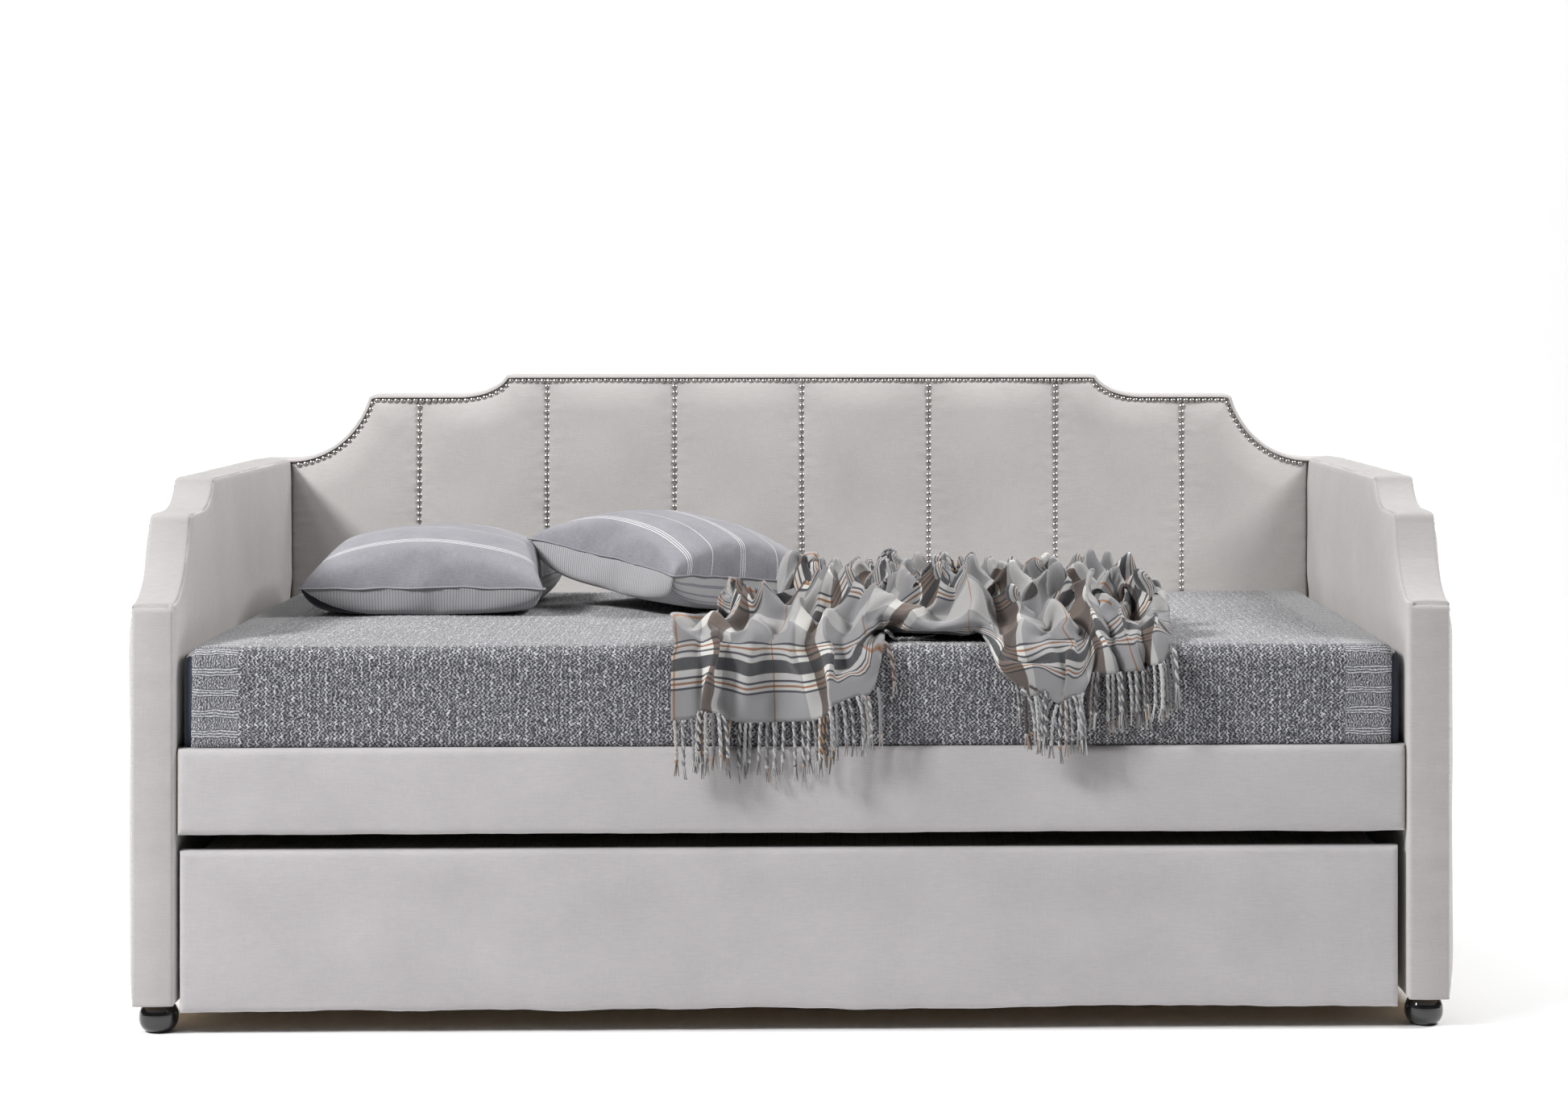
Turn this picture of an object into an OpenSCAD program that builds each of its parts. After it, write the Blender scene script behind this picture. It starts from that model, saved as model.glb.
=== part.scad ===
// Upholstered daybed with a pull-out trundle on casters, dressed with bedding.
// X runs along the bed, +Y points to the back, +Z is up. The floor is Z = 0.

/* [Bed] */
// Clear length between the two arms
inner_w = 1956; // [1950:1:2000]
// Depth of the bed from the front of the arms to the back of the back panel
bed_d = 1100; // [1096:1:1130]
// Thickness of each arm without its outer side panel
arm_t = 70; // [66:1:90]
// How far the padded side panel stands out from the arm
side_bulge = 25; // [12:1:35]
// Height of the arms and the back above the floor
foot_h = 47; // [40:1:55]

/* [Back] */
// Height of the top of the back
back_z = 1029; // [1010:1:1060]
// Height of the lower shoulder of the back
shoulder_z = 991; // [970:1:1000]
// Half length of the top plateau
top_x = 566; // [550:1:580]
// Where the small cove beside the top plateau runs out
cove_x = 656; // [650:1:680]
// Half length of the lower shoulder
shoulder_x = 828; // [800:1:840]
// Thickness of the whole back
back_t = 80; // [76:1:90]
// Distance between the channels of the back
channel_pitch = 244.5; // [230:0.5:250]

/* [Arms] */
// Height of the arm at its front edge
arm_front_z = 684; // [660:1:700]
// Height of the first step of the arm
step_z = 818; // [790:1:830]
// Height of the rear part of the arm
arm_z = 868; // [850:1:880]
// Depth at which the arm reaches its first step
step_y = 130; // [100:1:160]
// Depth at which the second cove of the arm starts
flat_y = 225; // [190:1:240]
// Depth at which the arm reaches its full height
crest_y = 317; // [300:1:340]

/* [Front rail] */
// Height of the bottom edge of the front rail
rail_z0 = 316; // [312:1:320]
// Height of the top edge of the front rail
rail_z1 = 454; // [440:1:460]
// Depth of the front rail
rail_t = 34; // [30:1:36]

/* [Bed deck] */
// Height of the top of the slats
deck_z = 404; // [396:1:410]
// Number of slats under the mattress
bed_slat_n = 13; // [9:1:14]
// Height of the top of the mattress
mattress_z = 608; // [590:1:612]
// Thickness of the knitted blanket
blanket_t = 8; // [4:1:10]

/* [Trundle] */
// Length of the padded front of the trundle
trundle_w = 1940; // [1936:1:1942]
// How far the parked trundle stands off centre
trundle_shift = -4; // [-6:1:4]
// Height of the bottom edge of the trundle front
front_z0 = 36; // [30:1:44]
// Height of the top edge of the trundle front
front_z1 = 292; // [270:1:296]
// Depth of the trundle from its front to its rear rail
trundle_d = 990; // [960:1:1000]
// Number of slats in the trundle
trundle_slat_n = 12; // [8:1:13]

/* [Casters and feet] */
// Radius of a caster wheel
wheel_r = 25; // [22:0.5:26]
// Width of a caster wheel
wheel_w = 20; // [16:1:24]
// Diameter of a ball foot
foot_d = 62; // [54:1:66]

/* [Hidden] */
$fn = 48;

fabric_grey = [0.78, 0.77, 0.76];
timber = [0.80, 0.66, 0.46];
ply = [0.83, 0.70, 0.50];
pewter = [0.62, 0.60, 0.57];
steel = [0.72, 0.73, 0.75];
gloss_black = [0.03, 0.03, 0.03];

// How far the fringe of the throw hangs in front of the arms
fringe_out = 12;
// World Y of the front of the arms, so that the origin is under the middle of the bounding box
front_y = -(bed_d - fringe_out) / 2;
// Half lengths and depths of the main planes
in_x = inner_w / 2;
out_x = in_x + arm_t;
back_y = bed_d - back_t;

// Layers of an arm, from the inside out
pad_t = 12;
panel_t = 18;
band_t = 8;
panel_x = in_x + pad_t;
post_x = panel_x + panel_t;
side_x = out_x - 2;
post_front_d = 80;
post_rear_d = 60;
post_front_z = 650;
post_rear_z = 800;
bottom_rail_h = 100;

// Layers of the back, from the front to the rear
back_pad_t = 30;
back_ply_t = 12;
rear_cover_t = 6;
edge_t = 12;
back_post_h = arm_z - edge_t - foot_h;
back_post_y = back_y + 2;
back_post_x = panel_x;
ply_y = back_y + back_pad_t;
rear_y = bed_d - rear_cover_t;

// Nail trims stand 4 mm proud of the fabric that they hold down
trim_t = 4;
top_trim_in = 7;
top_trim_w = 10;
side_trim_w = 6;
channel_n = 3;
channel_trim_w = 9;
channel_z0 = 560;

// Bolts and their holes
bolt_r = 4;
bolt_hole_r = 4.1;
bolt_head_r = 8;
bolt_head_t = 5;
rail_bolt_y = 22;
rail_bolt_zs = [350, 420];
rail_bolt_in = 48;
back_bolt_zs = [95, 700];
back_bolt_in = 60;
foot_bolt_z0 = 20;
foot_bolt_z1 = foot_h + 43;
foot_x = (in_x + out_x) / 2;
foot_ys = [40, back_y + 40];

// Deck under the mattress
slat_t = 18;
slat_w = 70;
ledger_t = 30;
ledger_h = 40;
ledger_x = 940;
bed_slat_pitch = 148;
mattress_x = in_x - 6;
mattress_y0 = 40;
mattress_y1 = back_y - 10;

// Bedding
blanket_x = in_x - 22;
cushion_side = 430;
blanket_top = mattress_z + blanket_t;
bulge_y0 = 14;
blanket_y0 = bulge_y0 - 5.5;
throw_t = 12;

// Trundle
tr_x = trundle_w / 2;
tr_rail_t = 16;
tr_rail_z0 = wheel_r + 39;
tr_rail_h = 100;
tr_in_x = tr_x - tr_rail_t;
tr_front_t = 30;
tr_ledger_w = 66;
tr_front_ledger_w = 40;
tr_ledger_h = 40;
tr_deck_z = tr_rail_z0 + tr_ledger_h;
tr_slat_t = 16;
tr_slat_pitch = 155;
tr_mattress_z = front_z1 - 4;
cover_front_t = 10;
cover_edge_t = 6;

// Casters: a folded plate under a ledger, with two legs and a riveted axle
caster_x = 900;
bearer_y0 = 167;
caster_ys = [bearer_y0 + tr_ledger_w / 2, trundle_d - tr_rail_t - 34];
plate_t = 3;
plate_x = 50;
plate_y = 60;
leg_w = 24;
leg_drop = 11;
axle_r = 4;
axle_bore_r = 4.05;
leg_gap = wheel_w + 2;
axle_head_r = 6;
axle_head_t = 3;
screw_r = 2;
screw_hole_r = 2.1;
screw_l = 22;
screw_head_r = 4;
screw_head_t = 2;
screw_dx = 18;
screw_dy = 24;

// ---- outlines --------------------------------------------------------------

// Angle at which a cove leaves its upper corner
cove_a0 = 16;
cove_n = 10;

// Points of a hollow cove from its upper corner p down to q, where it runs out level
function cove(p, q) = [
  for (k = [0:cove_n])
    let (a = cove_a0 + (90 - cove_a0) * k / cove_n)
    [q[0] + (p[0] - q[0]) * cos(a) / cos(cove_a0),
     q[1] + (p[1] - q[1]) * (1 - sin(a)) / (1 - sin(cove_a0))]
];

function reversed(v) = [for (k = [len(v) - 1:-1:0]) v[k]];

function mirrored(v) = [for (p = reversed(v)) [-p[0], p[1]]];

// Right half of the top edge of the back, i inside the true outline
function back_top_half(i) = concat(
  cove([top_x - 0.6 * i, back_z - i], [cove_x, shoulder_z - i]),
  cove([shoulder_x - 0.6 * i, shoulder_z - i], [in_x, arm_z - i])
);

// Whole top edge of the back from x = -x1 to x = x1
function back_top(i, x1) = concat(
  [[-x1, arm_z - i]], mirrored(back_top_half(i)), back_top_half(i), [[x1, arm_z - i]]
);

// Front view of the back, i inside at the top, j inside at the sides, from z0 up
module back_outline(i, x1, z0) {
  polygon(concat(back_top(i, x1), [[x1, z0], [-x1, z0]]));
}

// Top edge of an arm seen from the side, i inside, from the front to depth y1
function arm_top(i, y1) = concat(
  reversed(cove([step_y + 0.6 * i, step_z - i], [i, arm_front_z - i])),
  reversed(cove([crest_y + 0.6 * i, arm_z - i], [flat_y, step_z + 2 - i])),
  [[y1, arm_z - i]]
);

module arm_outline(i, y1, z0) {
  polygon(concat(arm_top(i, y1), [[y1, z0], [i, z0]]));
}

// ---- placing ---------------------------------------------------------------

// Puts a shape drawn in bed depth (0 at the front of the arms) into the frame
module in_bed() {
  translate([0, front_y, 0]) children();
}

module in_trundle() {
  translate([trundle_shift, front_y, 0]) children();
}

// side is 1 on the right and -1 on the left
module on_side(side) {
  mirror([side < 0 ? 1 : 0, 0, 0]) children();
}

// Extrudes a side view (depth, height) along X from x0 for length t
module along_x(x0, t) {
  translate([x0, 0, 0]) rotate([90, 0, 90]) linear_extrude(t) children();
}

// Extrudes a front view (x, height) backwards from depth y0 for length t
module along_y(y0, t) {
  translate([0, y0 + t, 0]) rotate([90, 0, 0]) linear_extrude(t) children();
}

module box(x0, x1, y0, y1, z0, z1) {
  translate([x0, y0, z0]) cube([x1 - x0, y1 - y0, z1 - z0]);
}

module rod_x(r, x0, x1, y, z) {
  translate([x0, y, z]) rotate([0, 90, 0]) cylinder(h = x1 - x0, r = r);
}

module rod_y(r, x, y0, y1, z) {
  translate([x, y1, z]) rotate([90, 0, 0]) cylinder(h = y1 - y0, r = r);
}

// Holes for the bolts that join an arm to the front rail and to the back
module arm_bolt_holes() {
  for (z = rail_bolt_zs) {
    rod_x(bolt_hole_r, in_x - rail_bolt_in - 1, out_x, rail_bolt_y, z);
    rod_x(bolt_head_r + 0.5, side_x - bolt_head_t - 0.2, out_x, rail_bolt_y, z);
  }
  for (z = back_bolt_zs) {
    rod_y(bolt_hole_r, post_x + 19, back_y - back_bolt_in - 1, bed_d, z);
    rod_y(bolt_head_r + 0.5, post_x + 19, rear_y - bolt_head_t - 0.2, rear_y, z);
  }
}

module foot_bolt_holes() {
  for (y = foot_ys)
    translate([foot_x, y, foot_bolt_z0 - 1])
      cylinder(h = foot_bolt_z1 - foot_bolt_z0 + 2, r = bolt_hole_r);
}

// ---- back ------------------------------------------------------------------

module back_panel() {
  color(ply) in_bed() along_y(ply_y, back_ply_t)
    back_outline(edge_t, back_post_x, foot_h);
}

module back_post(side) {
  color(timber) in_bed() on_side(side) difference() {
    box(back_post_x, side_x, back_post_y, rear_y, foot_h, foot_h + back_post_h);
    arm_bolt_holes();
    foot_bolt_holes();
  }
}

module back_bottom_rail() {
  color(timber) in_bed()
    box(-back_post_x, back_post_x, ply_y + back_ply_t, rear_y, foot_h, foot_h + bottom_rail_h);
}

module back_pad() {
  color(fabric_grey) in_bed() along_y(back_y, back_pad_t)
    back_outline(edge_t, in_x + 10, foot_h);
}

// Fabric border that wraps the top edge and the side edges of the back
module back_edge_band() {
  color(fabric_grey) in_bed() along_y(back_y + 0.5, rear_y - back_y - 0.5) difference() {
    back_outline(0, out_x, foot_h);
    back_outline(edge_t, side_x, foot_h - 1);
  }
}

module back_rear_cover() {
  color(fabric_grey) in_bed() along_y(rear_y, rear_cover_t) back_outline(0, out_x, foot_h);
}

module back_top_nail_trim() {
  color(pewter) in_bed() along_y(back_y - trim_t, trim_t) intersection() {
    difference() {
      back_outline(top_trim_in, in_x, foot_h);
      back_outline(top_trim_in + top_trim_w, in_x + 1, foot_h - 1);
    }
    translate([-in_x + 4, foot_h]) square([inner_w - 8, back_z]);
  }
}

// Height at which the nail row of a channel meets the row along the top edge
function channel_top(x) = (abs(x) < top_x ? back_z : shoulder_z) - top_trim_in - top_trim_w - 1;

module back_channel_nail_trim() {
  color(pewter) in_bed() for (k = [-channel_n:channel_n]) {
    x = k * channel_pitch;
    box(x - channel_trim_w / 2, x + channel_trim_w / 2, back_y - trim_t, back_y,
        channel_z0, channel_top(x));
  }
}

// ---- arms ------------------------------------------------------------------

module arm_panel(side) {
  color(ply) in_bed() on_side(side) difference() {
    along_x(panel_x, panel_t) arm_outline(band_t, back_y, foot_h);
    arm_bolt_holes();
  }
}

module arm_posts(side) {
  color(timber) in_bed() on_side(side) difference() {
    union() {
      box(post_x, side_x, band_t, band_t + post_front_d, foot_h, post_front_z);
      box(post_x, side_x, back_y - post_rear_d, back_y, foot_h, post_rear_z);
    }
    arm_bolt_holes();
    foot_bolt_holes();
  }
}

module arm_bottom_rail(side) {
  color(timber) in_bed() on_side(side)
    box(post_x, side_x, band_t + post_front_d, back_y - post_rear_d, foot_h,
        foot_h + bottom_rail_h);
}

module arm_inner_pad(side) {
  color(fabric_grey) in_bed() on_side(side) difference() {
    along_x(in_x, pad_t) arm_outline(band_t, back_y, foot_h);
    arm_bolt_holes();
  }
}

// Fabric boxing that runs up the front of the arm and back along its top
module arm_band(side) {
  color(fabric_grey) in_bed() on_side(side) along_x(in_x, arm_t) difference() {
    arm_outline(0, back_y, foot_h);
    arm_outline(band_t, back_y + 1, foot_h - 1);
  }
}

module arm_outer_pad(side) {
  color(fabric_grey) in_bed() on_side(side)
    along_x(side_x, side_bulge + 2) arm_outline(band_t + side_trim_w, back_y, foot_h);
}

module arm_nail_trim(side) {
  color(pewter) in_bed() on_side(side) along_x(side_x, trim_t + 2) difference() {
    arm_outline(band_t, back_y, foot_h + 8);
    arm_outline(band_t + side_trim_w, back_y + 1, foot_h - 1);
  }
}

// ---- front rail and deck ---------------------------------------------------

module front_rail_board() {
  color(timber) in_bed() difference() {
    box(-in_x + 0.5, in_x - 0.5, cover_front_t, rail_t,
        rail_z0 + cover_edge_t, rail_z1 - cover_edge_t);
    for (side = [-1, 1]) on_side(side) arm_bolt_holes();
  }
}

module front_rail_cover() {
  color(fabric_grey) in_bed() difference() {
    box(-in_x + 0.5, in_x - 0.5, 0, rail_t, rail_z0, rail_z1);
    box(-in_x, in_x, cover_front_t, rail_t + 1, rail_z0 + cover_edge_t, rail_z1 - cover_edge_t);
  }
}

module front_ledger() {
  z1 = deck_z - slat_t;
  color(timber) in_bed() box(-ledger_x, ledger_x, rail_t, rail_t + ledger_t, z1 - ledger_h, z1);
}

module rear_ledger() {
  z1 = deck_z - slat_t;
  color(timber) in_bed() box(-ledger_x, ledger_x, back_y - ledger_t, back_y, z1 - ledger_h, z1);
}

module bed_slats() {
  color(timber) in_bed() for (k = [0:bed_slat_n - 1]) {
    x = (k - (bed_slat_n - 1) / 2) * bed_slat_pitch;
    box(x - slat_w / 2, x + slat_w / 2, rail_t + 4, back_y - 4, deck_z - slat_t, deck_z);
  }
}

// ---- feet and bolts --------------------------------------------------------

// Radius of the ball foot at height z
function foot_r(z) = foot_d / 2 * pow(1 - pow(abs(z - foot_h / 2) / (foot_h * 0.56), 2.4), 1 / 2.4);

module foot(side, row) {
  color(gloss_black) in_bed() on_side(side) difference() {
    translate([foot_x, foot_ys[row], 0]) rotate_extrude()
      polygon(concat([[0, 0]], [for (k = [0:16]) [foot_r(foot_h * k / 16), foot_h * k / 16]],
                     [[0, foot_h]]));
    foot_bolt_holes();
  }
}

module foot_bolts() {
  color(steel) in_bed() for (side = [-1, 1]) on_side(side) for (y = foot_ys)
    translate([foot_x, y, foot_bolt_z0]) cylinder(h = foot_bolt_z1 - foot_bolt_z0, r = bolt_r);
}

module frame_bolts() {
  color(steel) in_bed() for (side = [-1, 1]) on_side(side) {
    for (z = rail_bolt_zs) union() {
      rod_x(bolt_r, in_x - rail_bolt_in, side_x - 1, rail_bolt_y, z);
      rod_x(bolt_head_r, side_x - bolt_head_t, side_x, rail_bolt_y, z);
    }
    for (z = back_bolt_zs) union() {
      rod_y(bolt_r, post_x + 19, back_y - back_bolt_in, rear_y - 1, z);
      rod_y(bolt_head_r, post_x + 19, rear_y - bolt_head_t, rear_y, z);
    }
  }
}

// ---- bedding ---------------------------------------------------------------

// Sits behind the front rail and bulges forward over its top edge
module mattress() {
  color([0.16, 0.18, 0.24]) in_bed() union() {
    box(-mattress_x, mattress_x, mattress_y0, mattress_y1, deck_z, mattress_z);
    box(-mattress_x, mattress_x, bulge_y0, mattress_y0 + 1, rail_z1 + 2, mattress_z);
  }
}

// Lies over the top of the mattress and hangs down its front to the rail
module knit_blanket() {
  color([0.45, 0.46, 0.48]) in_bed() union() {
    box(-blanket_x, blanket_x, blanket_y0, mattress_y1 - 30, mattress_z, blanket_top);
    box(-blanket_x, blanket_x, blanket_y0, bulge_y0, rail_z1 + 1, blanket_top);
  }
}

// A square cushion: seam plane at z = 0, with a crown above it and one below
module cushion_body(side, top, bottom) {
  hull() {
    translate([-side / 2, -side / 2, -4]) cube([side, side, 8]);
    translate([-side * 0.3, -side * 0.3, -bottom]) cube([side * 0.6, side * 0.6, top + bottom]);
  }
}

module cushion_left() {
  color([0.62, 0.63, 0.68]) in_bed() translate([-655, 690, blanket_top + 49])
    cushion_body(cushion_side, 100, 48);
}

module cushion_right() {
  color([0.62, 0.63, 0.68]) in_bed() translate([-215, 712, blanket_top + 80])
    rotate([0, 9, 0]) rotate([0, 0, 45]) cushion_body(cushion_side - 30, 84, 48);
}

// Parts of the throw: a heap on the mattress and the flaps that fall over its front edge
throw_flaps = [[-214, 108, 488], [330, 466, 484], [466, 560, 560]];
fringe_drops = [[-214, 108, 396], [330, 466, 414]];

module throw() {
  color([0.80, 0.79, 0.77]) in_bed() union() {
    hull() {
      box(-190, 600, blanket_y0, 430, blanket_top, blanket_top + 24);
      box(60, 520, 120, 340, blanket_top, blanket_top + 95);
    }
    for (f = throw_flaps)
      box(f[0], f[1], blanket_y0 - throw_t, blanket_y0, f[2], blanket_top + 10);
  }
}

module throw_fringe() {
  y1 = blanket_y0;
  color([0.70, 0.68, 0.66]) in_bed() for (f = fringe_drops) along_x(f[0], f[1] - f[0])
    polygon([[y1 - throw_t, 483], [y1, 483], [y1, rail_z1 + 4], [-2, rail_z1 + 2], [-2, f[2]],
             [-fringe_out, f[2]], [-fringe_out, rail_z1 + 10]]);
}

// ---- trundle ---------------------------------------------------------------

module trundle_front_board() {
  color(timber) in_trundle() box(-tr_x + cover_edge_t, tr_x - cover_edge_t, cover_front_t,
    tr_front_t, front_z0 + cover_edge_t, front_z1 - cover_edge_t);
}

module trundle_front_cover() {
  e = cover_edge_t;
  color(fabric_grey) in_trundle() difference() {
    box(-tr_x, tr_x, 0, tr_front_t, front_z0, front_z1);
    box(-tr_x + e, tr_x - e, cover_front_t, tr_front_t + 1, front_z0 + e, front_z1 - e);
  }
}

module trundle_side_rail(side) {
  color(timber) in_trundle() on_side(side)
    box(tr_in_x, tr_x, tr_front_t, trundle_d, tr_rail_z0, tr_rail_z0 + tr_rail_h);
}

module trundle_rear_rail() {
  color(timber) in_trundle() box(-tr_in_x, tr_in_x, trundle_d - tr_rail_t, trundle_d,
    tr_rail_z0, tr_rail_z0 + tr_rail_h);
}

// Screw holes up into the ledgers, four over each caster
module caster_screw_places() {
  for (side = [-1, 1], y = caster_ys, dx = [-screw_dx, screw_dx], dy = [-screw_dy, screw_dy])
    translate([side * caster_x + dx, y + dy, tr_rail_z0]) children();
}

// Cross member that carries two casters, between the side rails
module caster_member(y0) {
  color(timber) in_trundle() difference() {
    box(-tr_in_x, tr_in_x, y0, y0 + tr_ledger_w, tr_rail_z0, tr_deck_z);
    caster_screw_places() translate([0, 0, -1]) cylinder(h = screw_l, r = screw_hole_r);
  }
}

module trundle_front_ledger() {
  color(timber) in_trundle()
    box(-tr_in_x, tr_in_x, tr_front_t, tr_front_t + tr_front_ledger_w, tr_rail_z0, tr_deck_z);
}

module trundle_caster_bearer() {
  caster_member(bearer_y0);
}

module trundle_rear_ledger() {
  caster_member(trundle_d - tr_rail_t - tr_ledger_w);
}

module trundle_slats() {
  color(timber) in_trundle() for (k = [0:trundle_slat_n - 1]) {
    x = (k - (trundle_slat_n - 1) / 2) * tr_slat_pitch;
    box(x - slat_w / 2, x + slat_w / 2, tr_front_t + 4, trundle_d - tr_rail_t - 4,
        tr_deck_z, tr_deck_z + tr_slat_t);
  }
}

module trundle_mattress() {
  color([0.88, 0.87, 0.84]) in_trundle() box(-tr_in_x + 3, tr_in_x - 3, tr_front_t + 4,
    trundle_d - tr_rail_t - 4, tr_deck_z + tr_slat_t, tr_mattress_z);
}

// ---- casters ---------------------------------------------------------------

module at_caster(side, row) {
  in_trundle() translate([side * caster_x, caster_ys[row], wheel_r]) children();
}

module caster_bracket(side, row) {
  top = tr_rail_z0 - wheel_r;
  color(steel) at_caster(side, row) difference() {
    union() {
      box(-plate_x / 2, plate_x / 2, -plate_y / 2, plate_y / 2, top - plate_t, top);
      for (s = [-1, 1]) {
        x0 = s > 0 ? leg_gap / 2 : -leg_gap / 2 - plate_t;
        box(x0, x0 + plate_t, -leg_w / 2, leg_w / 2, -leg_drop, top - plate_t);
      }
    }
    rod_x(axle_bore_r, -plate_x, plate_x, 0, 0);
    for (dx = [-screw_dx, screw_dx], dy = [-screw_dy, screw_dy])
      translate([dx, dy, top - plate_t - 1]) cylinder(h = plate_t + 2, r = screw_hole_r);
  }
}

module caster_axles() {
  x1 = leg_gap / 2 + plate_t;
  color(steel) for (side = [-1, 1], row = [0, 1]) at_caster(side, row) union() {
    rod_x(axle_r, -x1 - 1, x1 + 1, 0, 0);
    rod_x(axle_head_r, -x1 - axle_head_t, -x1, 0, 0);
    rod_x(axle_head_r, x1, x1 + axle_head_t, 0, 0);
  }
}

module caster_screws() {
  color(steel) in_trundle() caster_screw_places() union() {
    translate([0, 0, -plate_t]) cylinder(h = screw_l - 2 + plate_t, r = screw_r);
    translate([0, 0, -plate_t - screw_head_t]) cylinder(h = screw_head_t, r = screw_head_r);
  }
}

// Side view of half a wheel: a round-shouldered tread and a hub
module caster_wheel(side, row) {
  w = wheel_w / 2;
  color([0.10, 0.10, 0.11]) at_caster(side, row) rotate([0, 90, 0]) difference() {
    rotate_extrude() polygon([[0, -w], [9, -w], [9, -w + 2], [wheel_r - 5, -w + 2],
      [wheel_r - 5, -w], [wheel_r - 1.5, -w + 0.6], [wheel_r, -w + 3], [wheel_r, w - 3],
      [wheel_r - 1.5, w - 0.6], [wheel_r - 5, w], [wheel_r - 5, w - 2], [9, w - 2], [9, w],
      [0, w]]);
    cylinder(h = wheel_w + 2, r = axle_bore_r, center = true);
  }
}

// ---- nodes -----------------------------------------------------------------

back_panel();
back_post(-1);  // back_post_left
back_post(1);  // back_post_right
back_bottom_rail();
back_pad();
back_edge_band();
back_rear_cover();
back_top_nail_trim();
back_channel_nail_trim();
arm_panel(-1);  // arm_panel_left
arm_panel(1);  // arm_panel_right
arm_posts(-1);  // arm_posts_left
arm_posts(1);  // arm_posts_right
arm_bottom_rail(-1);  // arm_bottom_rail_left
arm_bottom_rail(1);  // arm_bottom_rail_right
arm_inner_pad(-1);  // arm_inner_pad_left
arm_inner_pad(1);  // arm_inner_pad_right
arm_outer_pad(-1);  // arm_outer_pad_left
arm_outer_pad(1);  // arm_outer_pad_right
arm_band(-1);  // arm_band_left
arm_band(1);  // arm_band_right
arm_nail_trim(-1);  // arm_nail_trim_left
arm_nail_trim(1);  // arm_nail_trim_right
front_rail_board();
front_rail_cover();
front_ledger();
rear_ledger();
bed_slats();
foot(-1, 0);  // foot_front_left
foot(1, 0);  // foot_front_right
foot(-1, 1);  // foot_rear_left
foot(1, 1);  // foot_rear_right
foot_bolts();
frame_bolts();
mattress();
knit_blanket();
cushion_left();
cushion_right();
throw();
throw_fringe();
trundle_front_board();
trundle_front_cover();
trundle_side_rail(-1);  // trundle_side_rail_left
trundle_side_rail(1);  // trundle_side_rail_right
trundle_rear_rail();
trundle_front_ledger();
trundle_caster_bearer();
trundle_rear_ledger();
trundle_slats();
trundle_mattress();
caster_bracket(-1, 0);  // caster_bracket_front_left
caster_bracket(1, 0);  // caster_bracket_front_right
caster_bracket(-1, 1);  // caster_bracket_rear_left
caster_bracket(1, 1);  // caster_bracket_rear_right
caster_axles();
caster_screws();
caster_wheel(-1, 0);  // caster_wheel_front_left
caster_wheel(1, 0);  // caster_wheel_front_right
caster_wheel(-1, 1);  // caster_wheel_rear_left
caster_wheel(1, 1);  // caster_wheel_rear_right
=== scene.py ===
"""Looks of an upholstered daybed with a pull-out trundle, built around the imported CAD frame.

Everything is in metres in the frame's own axes: X along the bed, +Y to the back, +Z up.
"""

import math

import bmesh
import bpy
import numpy as np
from mathutils import Matrix, Vector, noise


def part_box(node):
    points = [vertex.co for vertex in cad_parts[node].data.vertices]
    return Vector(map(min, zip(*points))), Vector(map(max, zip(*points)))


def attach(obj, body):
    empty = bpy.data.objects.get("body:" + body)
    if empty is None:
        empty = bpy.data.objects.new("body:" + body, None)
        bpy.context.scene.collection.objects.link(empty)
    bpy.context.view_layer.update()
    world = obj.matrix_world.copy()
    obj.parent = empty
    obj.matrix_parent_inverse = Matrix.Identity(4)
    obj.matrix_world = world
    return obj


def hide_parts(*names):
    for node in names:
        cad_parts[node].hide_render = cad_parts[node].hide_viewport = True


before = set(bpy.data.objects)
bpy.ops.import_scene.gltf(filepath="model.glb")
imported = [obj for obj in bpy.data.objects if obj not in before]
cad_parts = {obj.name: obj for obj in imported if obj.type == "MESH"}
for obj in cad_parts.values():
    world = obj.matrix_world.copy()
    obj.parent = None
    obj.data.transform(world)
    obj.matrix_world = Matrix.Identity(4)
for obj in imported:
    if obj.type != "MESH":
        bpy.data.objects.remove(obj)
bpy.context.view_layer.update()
rng = np.random.default_rng(7)

# ---- sizes, the first ones taken from the frame ----

FRONT_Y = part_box("arm_band_right")[0].y
BACK_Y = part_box("back_pad")[0].y
REAR_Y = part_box("back_rear_cover")[1].y
IN_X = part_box("arm_inner_pad_right")[0].x
OUT_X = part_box("arm_band_right")[1].x
SIDE_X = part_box("arm_outer_pad_right")[0].x
PAD_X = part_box("arm_outer_pad_right")[1].x
FOOT_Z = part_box("arm_band_right")[0].z
ARM_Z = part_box("arm_band_right")[1].z
BACK_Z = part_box("back_rear_cover")[1].z
KNIT_LOW, KNIT_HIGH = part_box("knit_blanket")
RAIL_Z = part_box("front_rail_cover")[1].z
KNIT_FRONT = KNIT_LOW.y - FRONT_Y
ARM_DEPTH = BACK_Y - FRONT_Y

# Outlines of the back and of the arms: corners of their coves, and where the channels lie
TOP_X = 0.566
COVE_X = 0.656
SHOULDER_X = 0.828
SHOULDER_Z = BACK_Z - 0.038
ARM_FRONT_Z = 0.684
STEP_Z = 0.818
STEP_D = 0.130
FLAT_D = 0.225
CREST_D = 0.317
COVE_START = math.radians(16)
CHANNELS = 8
CHANNEL_PITCH = 2 * IN_X / CHANNELS

BACK_BORDER = 0.0065
BAND_T = 0.008
SEAM_IN = 0.0015
SIDE_BORDER = 0.014
NAIL_LINE = 0.0125
NAIL_PITCH = 0.01214
NAIL_R = 0.0053
SIDE_NAIL_PITCH = 0.012
SIDE_NAIL_R = 0.0034
PIPING_R = 0.0042
SEAM_CORD_R = 0.0018


def smooth(t):
    t = np.clip(t, 0.0, 1.0)
    return t * t * (3 - 2 * t)


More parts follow.
